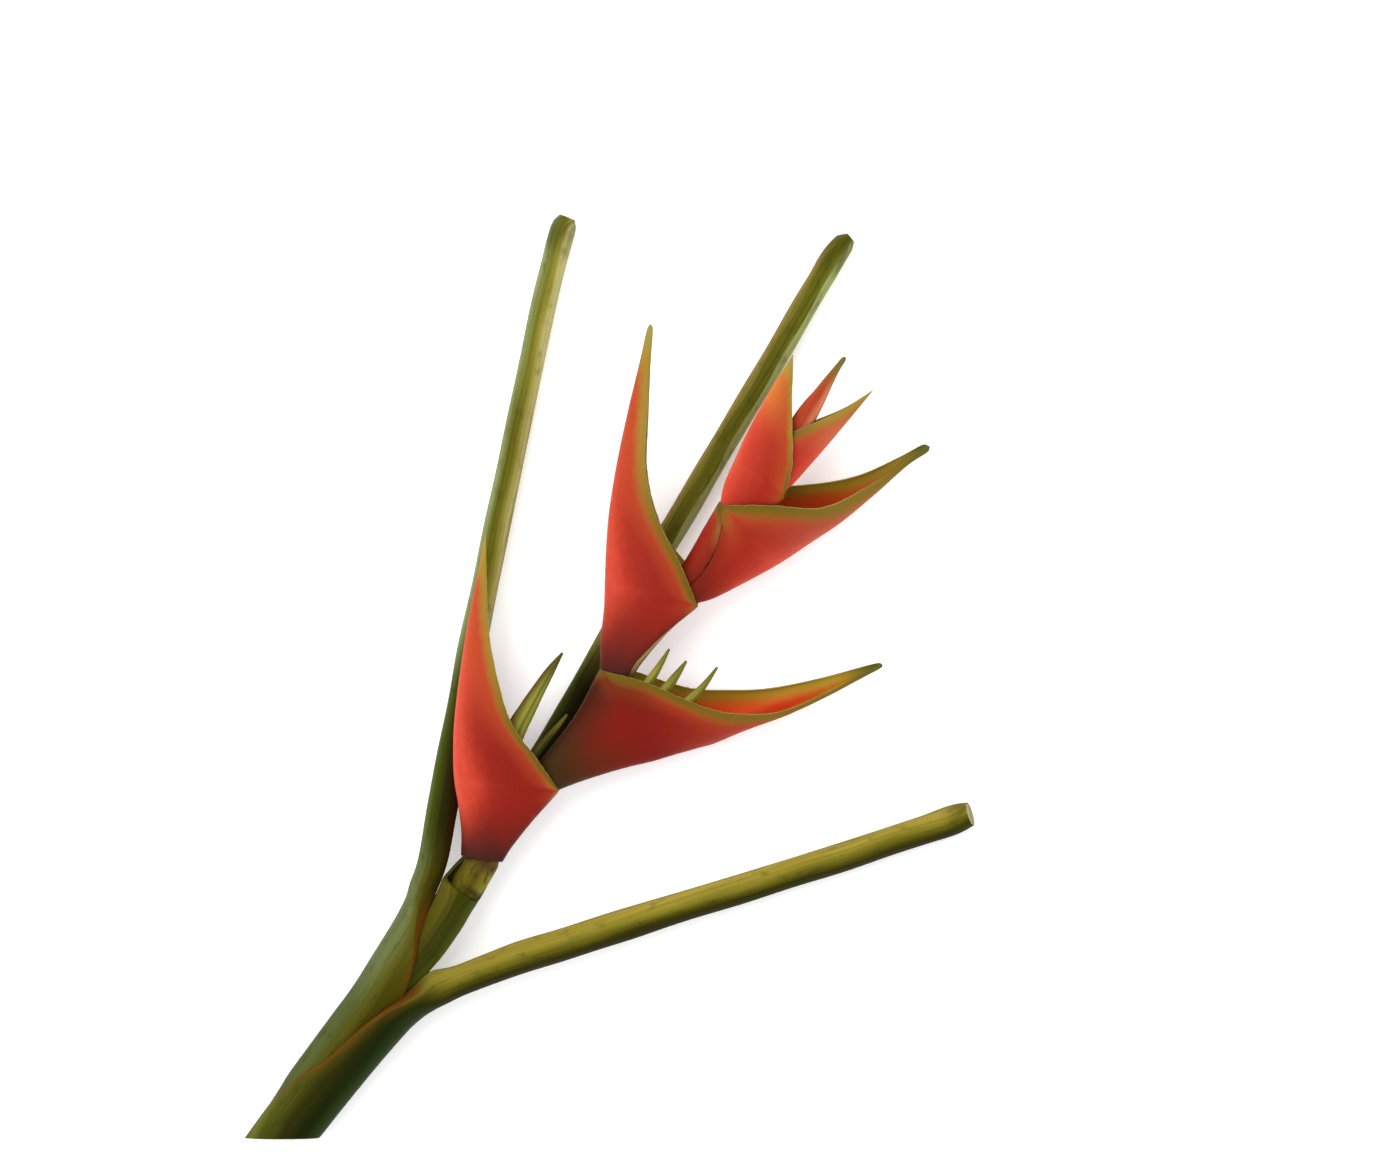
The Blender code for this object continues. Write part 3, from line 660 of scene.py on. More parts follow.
def rib_angles(place, design, nick):
    """How far round the rib's outline is used, how far its near lip reaches, and the angles of its points
    about its middle, far lip to near lip, the keel at 0, closer together at the lips."""
    corner, seam = design["corner"], design["seam"]
    if place <= corner:
        reach = 180
        near = np.interp(place, np.linspace(0, corner, len(seam)), seam)
        far = 360 - near
    else:
        reach = near = 180 - (180 - LIP_ANGLE) * min(1, place - corner) ** 0.5
        far = min(179, near + design["peek"] * ease(corner + PEEK_END - place, 0, PEEK_FADE))
    return reach, near, np.concatenate([-(far + nick[0]) * SPREAD[:0:-1], (near + nick[1]) * SPREAD])


# %% One rib as a ring
def rib_walls(outline, outward, open_depth):
    """The inner side of a rib's wall, and how far each point lies along it. open_depth: mm, or None in the
    clasp, which never fills up."""
    along = way_along(outline)
    from_lip = np.minimum(along, along[-1] - along)
    wall = LIP_WALL + (KEEL_WALL - LIP_WALL) * ease(from_lip, 0, LIP_THINS)
    inner = outline - wall[:, None] * outward
    if open_depth is not None:
        fill = np.clip((HOLLOW_DEPTH - open_depth) / (HOLLOW_DEPTH - SOLID_DEPTH), 0, 1)
        chord = np.linspace(0.1, 0.9, len(outline))[:, None]
        inner += fill * (outline[0] + (outline[-1] - outline[0]) * chord - inner)
    return inner, from_lip, along - along[ACROSS_HALF]


def bract_rib(lip, keel, half_width, twist, place, design, nick):
    """One rib as a closed ring of points, with each point's way from the lip and from the keel."""
    corner, roll = design["corner"], design["roll"]
    reach, near, angles = rib_angles(place, design, nick)
    sharpness = min(1, place / corner)
    span = np.linalg.norm(lip - keel)
    t = radians(twist)
    pivot = span / cos(t)
    depth = pivot * 2 / (1 - cos(radians(reach)))
    before, outline, after = [boat_outline(depth, half_width, sharpness, angles + step)
                              for step in (-0.5, 0, 0.5)]
    heading = unit(after - before)
    outward = np.stack([-heading[:, 1], heading[:, 0]], 1)
    lift = CLASP_LIFT * ease(corner + 0.15 - place, 0, 0.3)
    outline = outline + outward * (lift * ease(angles, near - LIFT_FROM, near - LIFT_FULL))[:, None]
    inner, from_lip, across = rib_walls(outline, outward, depth if place > corner else None)
    out, rise = np.concatenate([outline, inner[::-1]]).T
    turned_out = span + (out - pivot) * cos(t) - rise * sin(t)
    turned_rise = (out - pivot) * sin(t) + rise * cos(t)
    keel_shift = (pivot - out) * sin(t) * sin(radians(roll))
    to_lip = (lip - keel) / span
    ring = rolled(keel[0] + turned_out * to_lip[0] + keel_shift, keel[1] + turned_out * to_lip[1],
                  turned_rise, roll)
    facts = {"from_lip": from_lip, "from_keel": np.abs(across), "across_mm": across,
             "under_flap": (angles < 0).astype(float)}
    return ring, {fact: np.concatenate([value, value[::-1]]) for fact, value in facts.items()}


# %% [markdown]
# The lip of a real bract is never a clean line: its dry edge is frayed by fractions of a millimetre. A
# seeded random nick on every fine rib does that.

# %% Sew the ribs together
# Fine ribs to each measured one, in the clasp and past the corner, and those close behind the corner
CLASP_RIBS = 8
OPEN_RIBS = 9
CORNER_RIBS = (0.01, 0.03, 0.07, 0.12)
NICK_DEGREES = 0.45


def rib_places(corner, last):
    """Where the fine ribs stand, counted in measured ribs."""
    clasp = np.linspace(0, corner, CLASP_RIBS * corner + 1)
    past = np.linspace(corner + 0.18, last - 0.04, int(OPEN_RIBS * (last - corner)))
    return np.concatenate([clasp, corner + np.array(CORNER_RIBS), past])


def bract(name, design, finish, seed):
    """The fine surface of one bract, from its foot on the axis to its tip."""
    ribs, corner, roll = np.array(design["ribs"], float), design["corner"], design["roll"]
    places = rib_places(corner, len(ribs) - 1)
    lips = np.where((places <= corner)[:, None],
                    smooth(ribs[: corner + 1, :2], np.minimum(places, corner)),
                    smooth(ribs[corner:, :2], np.maximum(places - corner, 0)))
    nicks = np.random.default_rng(seed).normal(0, NICK_DEGREES, (len(places), 2))
    rows = smooth(ribs, places)
    keel_way, lip_way = way_along(rows[:, 2:4]), way_along(lips)
    ribs_made = [bract_rib(lip, row[2:4], row[4], row[5], place, design, nick)
                 for place, lip, row, nick in zip(places, lips, rows, nicks)]
    rings = [ring for ring, _ in ribs_made]
    facts = {fact: np.ravel([found[fact] for _, found in ribs_made]) for fact in ribs_made[0][1]}
    count = len(rings[0])
    facts["along_mm"] = np.repeat(keel_way, count)
    facts["up_bract"] = facts["along_mm"] / keel_way[-1]
    facts["past_corner"] = np.repeat(lip_way - np.interp(corner, places, lip_way), count)
    facts["inner"] = np.tile(np.arange(count) >= count // 2, len(places)).astype(float)
    tip = rolled(*ribs[-1, :2], 0.0, roll)
    ring_piece(name + "_skin", rings, facts, [finish], name, (True, False), tip)


# %% The six open bracts
STRIP_BEIGE = display(176, 152, 96)
STRIP_BROWN = display(150, 92, 40)
bract_looks = {
    "bract_1": dict(foot=FOOT_PURPLE, foot_reach=21, band=2.4, deep=0.75, lightness=0.5, corner=0.8,
                    tip=YELLOW, strip=STRIP_BEIGE),
    "bract_2": dict(foot=FOOT_OLIVE, foot_reach=42, band=3.4, deep=1.0, lightness=0.2, haze=0.5, corner=0.0,
                    inner_band=3.6, tip=DARK_GREEN, tip_from=0.86, shade=0.85, shade_reach=18,
                    heart_from=-0.3, corner_shade=0.55, pale_lip=0.3),
    "bract_3": dict(foot=FOOT_PURPLE, foot_reach=34, band=3.0, deep=0.55, lightness=0.45, strip=STRIP_BEIGE),
    "bract_4": dict(foot=FOOT_RED, foot_reach=24, band=4.6, deep=0.3, lightness=0.4, glow=GLOW_PINK,
                    corner=0.2, inner_band=3.6, tip=DARK_GREEN, tip_from=0.8, shade=0.3, shade_reach=6,
                    strip=STRIP_BROWN, strip_width=4.0, pale_lip=0.4, strip_from=0.16,
                    inside_light=1.1),
    "bract_5": dict(foot=FOOT_RED, foot_reach=3, band=1.7, deep=0.2, lightness=0.9, glow=GLOW_YELLOW,
                    haze=0.7, corner=0.3, glow_from=0.5),
    "bract_6": dict(foot=FOOT_RED, foot_reach=3, band=2.4, deep=0.0, lightness=0.8, glow=GLOW_PINK, haze=0.6,
                    corner=0.2),
}
for seed, (name, design) in enumerate(BRACTS.items()):
    bract(name, design, bract_finish(name + "_finish", **bract_looks[name]), seed)

# %% [markdown]
# The last bract is still rolled up in a closed bud, and the true flowers are closed too: slim pointed
# bodies. Both are spindles run along a spine. The lowest flower is two pressed together, so a groove
# runs down it.

# %% Spines of the bud and the flowers
# The bud's spine, in the same four measures as the flowers'
BUD = [(0, 308.0, 0, 1.5), (-0.1, 312.0, 0, 2.2), (-0.4, 316.0, 0, 3.4), (-0.4, 320.0, 0, 3.8),
       (-0.7, 325.0, 0, 3.4), (-0.9, 330.0, 0, 2.7), (-1.4, 336.0, 0, 1.9), (-1.7, 342.0, 0, 1.15),
       (-1.7, 345.4, 0, 0.9), (-1.7, 346.5, 0, 0.3)]

# Each flower's spine: x, y, height off the flower's flat plane, half width
FLOWERS = {
    "flower_1a": dict(roll=3, depth=0.7, groove=0.3, spine=[
        (-5.1, 139.0, 0, 0.9), (-10.0, 146.5, 0, 1.9), (-14.7, 156.5, 0.5, 3.0), (-18.2, 168.0, 1, 3.6),
        (-19.5, 177.0, 1, 3.1), (-20.4, 185.0, 1, 2.4), (-21.1, 193.0, 1, 1.7), (-21.5, 201.0, 1, 0.4)]),
    "flower_1b": dict(roll=3, depth=0.9, groove=0.1, spine=[
        (-4.7, 144.0, 1.5, 0.8), (-7.6, 150.0, 3, 1.2), (-8.1, 158.0, 4, 1.5), (-8.1, 166.0, 4, 1.6),
        (-7.9, 173.0, 4, 1.3), (-7.5, 179.0, 4, 0.9), (-7.3, 184.0, 4, 0.35)]),
    "flower_2a": dict(roll=13, depth=0.9, groove=0.08, spine=[
        (3.6, 184.0, 2, 0.8), (7.2, 190.0, 2, 1.2), (9.0, 200.0, 2, 1.5), (9.3, 211.0, 2, 1.6),
        (9.0, 218.0, 2, 1.1), (8.3, 224.7, 2, 0.4)]),
    "flower_2b": dict(roll=13, depth=0.9, groove=0.08, spine=[
        (4.1, 179.5, 0, 0.8), (9.5, 187.0, 0, 1.3), (14.0, 199.0, 0, 1.7), (16.2, 211.0, 0, 1.9),
        (16.4, 218.5, 0, 1.3), (16.3, 224.7, 0, 0.4)]),
    "flower_2c": dict(roll=13, depth=0.9, groove=0.08, spine=[
        (3.95, 175.0, 1, 0.8), (12.5, 183.0, 1, 1.3), (20.0, 197.0, 1, 1.7), (24.8, 211.0, 1, 1.9),
        (26.3, 220.5, 1, 1.2), (26.4, 229.5, 1, 0.4)]),
}
print("flowers:", len(FLOWERS))

# %% One spindle and its finish
AROUND_SPINDLE = 32
SPINDLE_ROWS = 60
# Where the groove lies, counted round from the right side over the top, and how wide it is
GROOVE_ANGLE = 1.35
GROOVE_WIDTH = 0.22
STALK_DARK = display(34, 38, 4)


def spindle(name, spine, roll, depth, groove, finish):
    """A slim closed body along a spine, flattened by depth, with a groove down its upper side."""
    angle = np.arange(AROUND_SPINDLE) * 2 * np.pi / AROUND_SPINDLE
    spine = np.array(spine, float)
    rows = smooth(spine, np.linspace(0, len(spine) - 1.04, SPINDLE_ROWS))
    heading = unit(np.gradient(rows[:, :2], axis=0))
    way = way_along(rows[:, :2])
    dip = groove * np.exp(-((angle - GROOVE_ANGLE) / GROOVE_WIDTH) ** 2)
    shape = 1 - dip - 0.4 * groove * np.cos(3 * angle)
    rings, across = [], []
    for (x, y, rise, r), run in zip(rows, heading):
        side, height = r * shape * np.cos(angle), depth * r * shape * np.sin(angle)
        rings.append(rolled(x + side * run[1], y - side * run[0], rise + height, roll))
        across.append(angle * r)
    facts = {"along_mm": np.repeat(way, AROUND_SPINDLE), "across_mm": np.ravel(across),
             "up_bract": np.repeat(way / way[-1], AROUND_SPINDLE), "round": np.tile(angle, len(rows))}
    ring_piece(name + "_skin", rings, facts, [finish], name, tip=rolled(*spine[-1, :3], roll))


def spindle_finish(name, sides, tip, relief_mm, creased=0.45, tip_from=0.7):
    """sides: colours from the left side to the right side of the body, which carry painted light and shade.
    creased: how dark the painted shade in its groove is.
    """
    paint = Paint(name)
    up, angle = paint.fact("up_bract"), paint.fact("round")
    # Painted light and shade from the left side to the right side
    colour = paint.ramp(paint.plus(paint.maths("COSINE", angle), paint.drift(12, 2), 0.4), sides)
    off_groove = paint.maths("ABSOLUTE", paint.maths("SUBTRACT", angle, GROOVE_ANGLE))
    # Painted shade in the groove
    colour = paint.layer(colour, STALK_DARK, paint.step(off_groove, 0.25, 0.05), creased)
    colour = paint.layer(colour, tip, paint.step(up, tip_from, 0.97))
    fibres = paint.cloud(30, 0.5, 3)
    colour = paint.brighten(colour, paint.plus(0.74, fibres, 0.6))
    paint.relief(fibres, relief_mm)
    return paint.done(colour, 0.5, 0.07)


# %% Flowers and bud
green_flower = spindle_finish(
    "green_flower", [(-1, (172, 168, 76)), (-0.3, (158, 154, 56)), (0.3, (134, 130, 34)), (1, (96, 92, 18))],
    display(116, 112, 34), 0.1)
# A darker copy of the flower's finish: painted shade for flower_1b, which lies in shade
shaded_flower = spindle_finish(
    "shaded_flower", [(-1, (70, 68, 14)), (-0.3, (72, 68, 12)), (0.3, (50, 44, 4)), (1, (36, 30, 2))],
    display(92, 88, 22), 0.1)
brown_edged_flower = spindle_finish(
    "brown_edged_flower",
    [(-1, (92, 60, 22)), (-0.75, (116, 106, 34)), (-0.3, (148, 144, 56)), (0.4, (140, 138, 48)),
     (1, (98, 96, 20))], display(84, 76, 20), 0.1)
bud_skin = spindle_finish(
    "bud_skin",
    [(-1, (196, 84, 52)), (-0.5, (176, 62, 32)), (0, (172, 66, 34)), (0.4, (196, 98, 64)),
     (0.75, (224, 140, 104)), (1, (196, 120, 74))], display(112, 104, 40), 0.12, creased=0.0, tip_from=0.55)
special_skins = {"flower_1a": brown_edged_flower, "flower_1b": shaded_flower}
for name, form in FLOWERS.items():
    spindle(name, form["spine"], form["roll"], form["depth"], form["groove"],
            special_skins.get(name, green_flower))
spindle("bract_7", BUD, 0, 0.7, 0.15, bud_skin)

# %% [markdown]
# The leaf stalks begin as sheaths wrapped round the stem, one inside the other. Each is a tube slit down
# one side; its slit widens up the stem until the sheath has become a thick stalk with a groove along
# its inner side. The same two outlines, outer and inner, serve from the cut end to the stalk's tip.

# %% Rows of the sheaths and stalks
# Rows of a sheath: inner x, y, outer x, y, height, hollow radius, half the angle that it wraps, half
# thickness once round, roundness from 0 to 1. Rows of a free stalk: x, y, height, width.
RIGHT_SHEATH = [
    (7.30, 0, 10.3, 0, 10.0, 9.15, 174, 5.2, 0),
    (7.30, 10, 10.5, 10, 10.0, 9.15, 168, 5.2, 0),
    (7.30, 15, 10.7, 15, 10.35, 9.15, 157, 5.2, 0),
    (7.40, 20, 10.9, 20, 10.7, 9.2, 143, 5.2, 0),
    (7.50, 30, 11.4, 30, 11.6, 9.3, 110, 5.2, 0),
    (7.70, 40, 12.0, 40, 12.5, 9.4, 96, 5.2, 0),
    (8.00, 50, 12.8, 50, 13.4, 9.5, 85, 5.2, 0),
    (8.20, 60, 13.9, 60, 14.2, 9.6, 68, 5.2, 0),
    (7.90, 66, 15.1, 65, 14.5, 9.6, 54, 5.2, 0.1),
    (7.20, 73, 17.0, 69.8, 14.7, 9.6, 42, 5.2, 0.4),
    (7.30, 79.5, 19.2, 74.0, 14.7, 9.6, 34, 5.4, 0.8),
]
RIGHT_STALK = [(16.8, 82.1, 14.4, 11.8), (23.5, 92.3, 13.7, 11.7), (30.4, 102.7, 12.9, 12.1),
               (40.7, 116.1, 11.9, 12.2), (50.5, 129.9, 10.9, 11.8), (70.6, 156.6, 9.0, 11.1),
               (90.6, 183.0, 7.3, 11.1), (110.7, 210.7, 5.9, 10.5), (121.6, 225.8, 4.6, 10.5),
               (130.7, 238.7, 4.4, 10.1), (132.3, 240.8, 4.4, 9.0)]
LEFT_SHEATH = [
    (-7.95, 0, -10.9, 0, 10.0, 7.0, 172, 5.0, 0),
    (-7.95, 10, -11.6, 10, 10.0, 7.0, 172, 5.0, 0),
    (-8.00, 20, -12.3, 20, 10.7, 7.0, 170, 5.0, 0),
    (-7.95, 30, -12.3, 30, 11.6, 7.05, 168, 5.0, 0),
    (-7.90, 45, -12.2, 45, 13.0, 7.2, 160, 5.0, 0),
    (-7.70, 60, -12.1, 60, 14.3, 7.35, 148, 5.0, 0),
    (-7.40, 70, -12.8, 70, 15.0, 7.5, 122, 5.0, 0),
    (-7.25, 80, -13.5, 80, 15.7, 7.65, 92, 5.0, 0),
    (-7.10, 90, -14.4, 90, 16.4, 7.7, 60, 5.0, 0.1),
    (-7.20, 98, -15.7, 97, 16.8, 7.3, 42, 5.0, 0.4),
    (-7.70, 105, -17.4, 101.5, 16.6, 7.2, 34, 5.0, 0.8),
]
LEFT_STALK = [(-13.7, 108.4, 16.5, 10.8), (-23.7, 130.2, 14.9, 11.6), (-37.7, 160.1, 12.0, 10.9),
              (-47.4, 179.9, 10.3, 10.8), (-56.6, 199.8, 8.7, 10.2), (-66.1, 221.1, 7.4, 9.9),
              (-74.7, 240.2, 6.3, 9.6), (-83.7, 260.2, 5.6, 9.4), (-92.8, 280.1, 4.9, 9.6),
              (-107.0, 313.2, 4.0, 9.4), (-110.4, 322.0, 3.8, 9.5), (-111.9, 326.5, 3.6, 8.8),
              (-112.5, 328.9, 3.6, 6.2)]
# Rows of the back sheath: x, y, inner height, outer height, hollow radius, half angle, roundness
BACK_SHEATH = [
    (-0.95, 0, 4.55, 3.35, 5.45, 180, 0),
    (-0.9, 10, 4.55, 3.35, 5.45, 180, 0),
    (-0.8, 20, 5.25, 4.05, 5.45, 180, 0),
    (-0.5, 50, 7.9, 6.65, 5.5, 180, 0),
    (0.3, 80, 10.0, 8.7, 5.9, 180, 0),
    (0.55, 86, 10.2, 8.9, 6.2, 180, 0),
    (0.5, 95, 10.8, 9.4, 6.2, 180, 0),
    (0.3, 100, 11.1, 9.6, 6.2, 180, 0),
    (-0.35, 105, 11.5, 9.9, 6.25, 180, 0),
    (-0.65, 107, 11.5, 9.9, 6.4, 180, 0),
    (-1.1, 109.7, 11.5, 9.7, 6.6, 180, 0),
    (-1.1, 110.0, 11.5, 9.7, 6.6, 152, 0),
    (-1.1, 110.4, 11.5, 9.7, 6.6, 127, 0),
    (-1.1, 110.8, 11.5, 9.7, 6.6, 106, 0),
    (-1.1, 111.2, 11.5, 9.7, 6.6, 90, 0),
    (-1.1, 112.5, 11.5, 9.7, 6.6, 80, 0),
    (-1.2, 116, 11.3, 8.9, 6.5, 66, 0),
    (-1.5, 121, 11.2, 7.2, 6.6, 50, 0.2),
    (-2.5, 127, 11.4, 5.0, 6.6, 44, 0.6),
]
BACK_STALK = [(-3.6, 136, 7.0, 9.0), (-4.8, 150, 6.4, 9.0), (-6.1, 170, 6.4, 9.0),
              (-7.9, 190, 6.6, 9.0), (-10.3, 210, 7.0, 9.0), (-13.5, 240, 7.6, 9.3),
              (-16.3, 270, 8.2, 9.5), (-19.3, 300, 8.4, 9.2), (-22.0, 330, 8.4, 9.2),
              (-25.3, 362, 8.0, 8.9), (-26.4, 376, 7.7, 8.7), (-26.2, 380.4, 7.6, 7.4),
              (-25.5, 383, 7.6, 3.9)]
print("rows of the right, left and back sheath:", len(RIGHT_SHEATH), len(LEFT_SHEATH), len(BACK_SHEATH))


# %% Sections of sheaths and stalks
# The sheath's wall: thickness at its free edge, how fast it swells from there, and the share of that
# thickness left on the edge itself, over the last part of the way round
SHEATH_EDGE = 0.9
WALL_SWELL = 2.5
THIN_EDGE = 0.45
EDGE_PART = 0.06
BACK_HALF_WIDTH = 4.5
# The groove along a stalk's inner side: its depth, its width as a share of the stalk's, and its rim
SIDE_GROOVE = 0.9
BACK_GROOVE = 0.1
GROOVE_SHARE = 0.4
GROOVE_RIM = 0.36
STALK_SWEEP = radians(152)
AROUND_SHEATH = 44
# From one edge of a section to the other, closer together at the edges
ROUND = np.sin(np.linspace(-np.pi / 2, np.pi / 2, AROUND_SHEATH + 1))
UP = np.array([0, 0, 1.0])


def stalk_section(thickness, half_thick, groove):
    """Outer and inner outline of a round stalk with a groove: out from the groove's floor, and across."""
    sweep = STALK_SWEEP * ROUND
    outer = np.stack([thickness / 2 * (1 + np.cos(sweep)), half_thick * np.sin(sweep)], 1)
    inner = np.stack([groove * (1 - ROUND**2) + GROOVE_RIM * ROUND**2, GROOVE_SHARE * half_thick * ROUND], 1)
    return outer, inner


def sheath_section(thickness, hollow, half_angle, half_thick, roundness, groove):
    """Outer and inner outline of a sheath that turns into a stalk as its roundness goes from 0 to 1."""
    angle = radians(half_angle) * ROUND
    wall = SHEATH_EDGE + (thickness - SHEATH_EDGE) * ((1 + np.cos(angle)) / 2) ** WALL_SWELL
    if half_angle < 180:
        wall = wall * (THIN_EDGE + (1 - THIN_EDGE) * ease(1 - np.abs(ROUND), 0, EDGE_PART))
    inner = np.stack([hollow * np.cos(angle) - hollow, hollow * np.sin(angle)], 1)
    outer = inner + wall[:, None] * np.stack([np.cos(angle), np.sin(angle)], 1)
    stalk_outer, stalk_inner = stalk_section(thickness, half_thick, groove)
    return ((1 - roundness) * outer + roundness * stalk_outer,
            (1 - roundness) * inner + roundness * stalk_inner)


def section_ring(inner_point, outer_point, across, section):
    """The section's outlines set up between two points, as one closed ring."""
    outer, inner = section
    out = unit(outer_point - inner_point)
    ring = np.concatenate([outer, inner[::-1]])
    return inner_point + ring[:, :1] * out + ring[:, 1:] * across


# %% Rings along a sheath and its stalk
# How far up the stem the slanted cut lies for each millimetre to the right
CUT_SLOPE = 0.727


def on_the_cut(ring):
    """The ring moved along the stem onto the slanted cut."""
    ring = ring.copy()
    ring[:, 1] = CUT_SLOPE * ring[:, 0]
    return ring


def stalk_rings(stalk, groove, directions):
    """Rings of a free stalk. directions: for a run along the stalk, the way out of the groove and the way
    across it."""
    stalk = np.array(stalk, float)
    rings = []
    for (*middle, width), run in zip(stalk, unit(np.gradient(stalk[:, :3], axis=0))):
        out, across = directions(run)
        half = out * width / 2
        section = stalk_section(width, width / 2, groove)
        rings.append(section_ring(middle - half, middle + half, across, section))
    return rings


def side_rings(sheath, stalk, side):
    """Rings of a sheath and its stalk that leaves to one side: -1 left, +1 right."""
    def directions(run):
        out = unit(np.cross(run, UP)) * side
        return out, unit(np.cross(out, run)) * side

    rings = []
    for ix, iy, ox, oy, z, hollow, half_angle, half_thick, roundness in sheath:
        section = sheath_section(np.hypot(ox - ix, oy - iy), hollow, half_angle, half_thick, roundness,
                                 SIDE_GROOVE)
        rings.append(section_ring(np.array([ix, iy, z]), np.array([ox, oy, z]), UP, section))
    return np.array([on_the_cut(rings[0]), *rings[1:], *stalk_rings(stalk, SIDE_GROOVE, directions)])


def back_rings(sheath, stalk):
    """Rings of the tube round the flower stalk and of the stalk that runs up behind."""
    def directions(run):
        across = unit(np.cross(run, UP))
        return np.cross(run, across), across

    rings = []
    for x, y, z_in, z_out, hollow, half_angle, roundness in sheath:
        section = sheath_section(z_in - z_out, hollow, half_angle, BACK_HALF_WIDTH, roundness, BACK_GROOVE)
        rings.append(section_ring(np.array([x, y, z_in]), np.array([x, y, z_out]), np.array([1.0, 0, 0]),
                                  section))
    return np.array([on_the_cut(rings[0]), *rings[1:], *stalk_rings(stalk, BACK_GROOVE, directions)])


def between(rings, spacing):
    """More rings in between, about spacing apart, on curves through the given ones."""
    way = way_along(rings.mean(1))
    at = np.unique(np.concatenate([way, np.arange(0, way[-1], spacing)]))
    first = np.clip(np.searchsorted(way, at, side="right") - 1, 0, len(way) - 2)
    gap = (way[first + 1] - way[first])[:, None, None]
    f = (at - way[first])[:, None, None] / gap
    slopes = np.gradient(rings, way, axis=0)
    return bend(rings[first], rings[first + 1], gap * slopes[first], gap * slopes[first + 1], f), at


# %% [markdown]
# The skin of sheaths and stalks is olive green and streaked along its length. Its ground colour follows
# the way a place faces, from the left side over the top to the right side, as painted light and shade: a
# pale grey-green on the left side, towards the lamp, partly a grey bloom and partly a painted highlight,
# and much darker painted shade on the right side. The free edge of each sheath has dried to a thin
# rust-brown line.

# %% Skin of the leaf stalks
STALK_TIP = display(72, 74, 16)
RUST = display(104, 56, 8)
RUST_HAZE = display(96, 76, 12)
# Millimetres before and after a stage's start over which it comes in
STAGE_FADE = 14


def stalk_finish(name, stages, rust, tip):
    """stages: (mm up the piece where it starts, colours from the left side to the right side, which carry
    painted light and shade), in turn.
    rust: how far up the sheath's edges are rust brown, mm. tip: where the stalk ends and has darkened, mm."""
    paint = Paint(name)
    down, edge = paint.fact("along_mm"), paint.fact("from_edge")
    streak = paint.cloud(70, 0.9, 4)
    broad = paint.drift(45, 4, 2, 4.0)
    # The ground colour by the way a place faces, as painted light and shade
    facing = paint.plus(paint.fact("faces_right"), broad, 0.5)
    colour = paint.ramp(facing, stages[0][1])
    for start, sides in stages[1:]:
        colour = paint.layer(colour, paint.ramp(facing, sides),
                             paint.step(down, start - STAGE_FADE, start + STAGE_FADE))
    colour = paint.brighten(colour, paint.plus(0.5, streak, 0.9))
    colour = paint.layer(colour, STALK_DARK, paint.step(paint.cloud(6, 3, 3, 9.0), 0.52, 0.78), 0.4)
    old = paint.both(paint.step(down, tip - 12, tip - 2), paint.step(paint.cloud(14, 3, 3), 0.2, 0.7))
    colour = paint.brighten(colour, paint.plus(1.0, old, -0.3))
    colour = paint.layer(colour, STALK_TIP, old, 0.6)
    on_sheath = paint.step(down, rust + 6, rust - 6)
    wander = paint.plus(paint.maths("SUBTRACT", edge, 1.5), paint.cloud(9, 3, 2, 6.0), 3.0)
    colour = paint.layer(colour, RUST_HAZE, paint.step(wander, 6.5, 0.4), on_sheath, 0.6)
    colour = paint.layer(colour, RUST, paint.step(wander, 2.6, 0.2), on_sheath, 0.85)
    paint.relief(paint.plus(streak, paint.cloud(1.2, 0.5, 1, 2.0), 0.25), 0.22)
    return paint.done(colour, paint.plus(0.5, broad, 0.3), 0.03)


# %% Cut flesh
CUT_PALE = display(176, 170, 110)
CUT_STAIN = display(132, 120, 60)
PORE = display(74, 66, 26)
# Cells to a metre
PORE_SCALE = 1100.0
STAIN_SCALE = 260.0


def cut_finish():
    """The cut flesh: pale, with the mouths of the air canals as small dark pores."""
    paint = Paint("cut_flesh")
    place = paint.node("ShaderNodeTexCoord").outputs["Object"]
    cell = paint.node("ShaderNodeTexVoronoi", [("Vector", place), ("Scale", PORE_SCALE)])
    pores = paint.step(cell.outputs["Distance"], 0.34, 0.2)
    stain = paint.node("ShaderNodeTexNoise", [("Vector", place), ("Scale", STAIN_SCALE), ("Detail", 3.0)])
    colour = paint.layer(CUT_PALE, CUT_STAIN, paint.step(stain.outputs[0], 0.4, 0.7))
    colour = paint.layer(colour, PORE, pores, 0.75)
    paint.relief(paint.maths("SUBTRACT", 1.0, pores), 0.2)
    return paint.done(colour, 0.6, 0.1)


cut_flesh = cut_finish()

# %% One leaf stalk
RING_SPACING = 2.5
# Soft waves along a free stalk, each repeating after 2 pi times its number, mm
LONG_WAVE, SHORT_WAVE, RIPPLE = 23.0, 9.1, 5.3
# Where the waves begin and where they are full, mm up the piece, and how far before its end they fade
WAVES_START, WAVES_FULL, WAVES_END = 90, 130, 12
# How far before the end the slanted cut begins to lean, mm
SLANT_REACH = 9


def waves(way, around):
    """How far the skin swells, from -1.5 to 1.5, for each place along a stalk and round it."""
    turn = np.linspace(0, 2 * np.pi, around)
    hills = np.sin(way / SHORT_WAVE) * np.sin(way / LONG_WAVE + 1.3)
    ripples = 0.5 * np.sin(way / RIPPLE)
    fade = ease(way, WAVES_START, WAVES_FULL) * ease(way[-1] - way, 0, WAVES_END)
    return fade[:, None] * (np.outer(hills, np.cos(turn)) + np.outer(ripples, np.sin(2 * turn)))


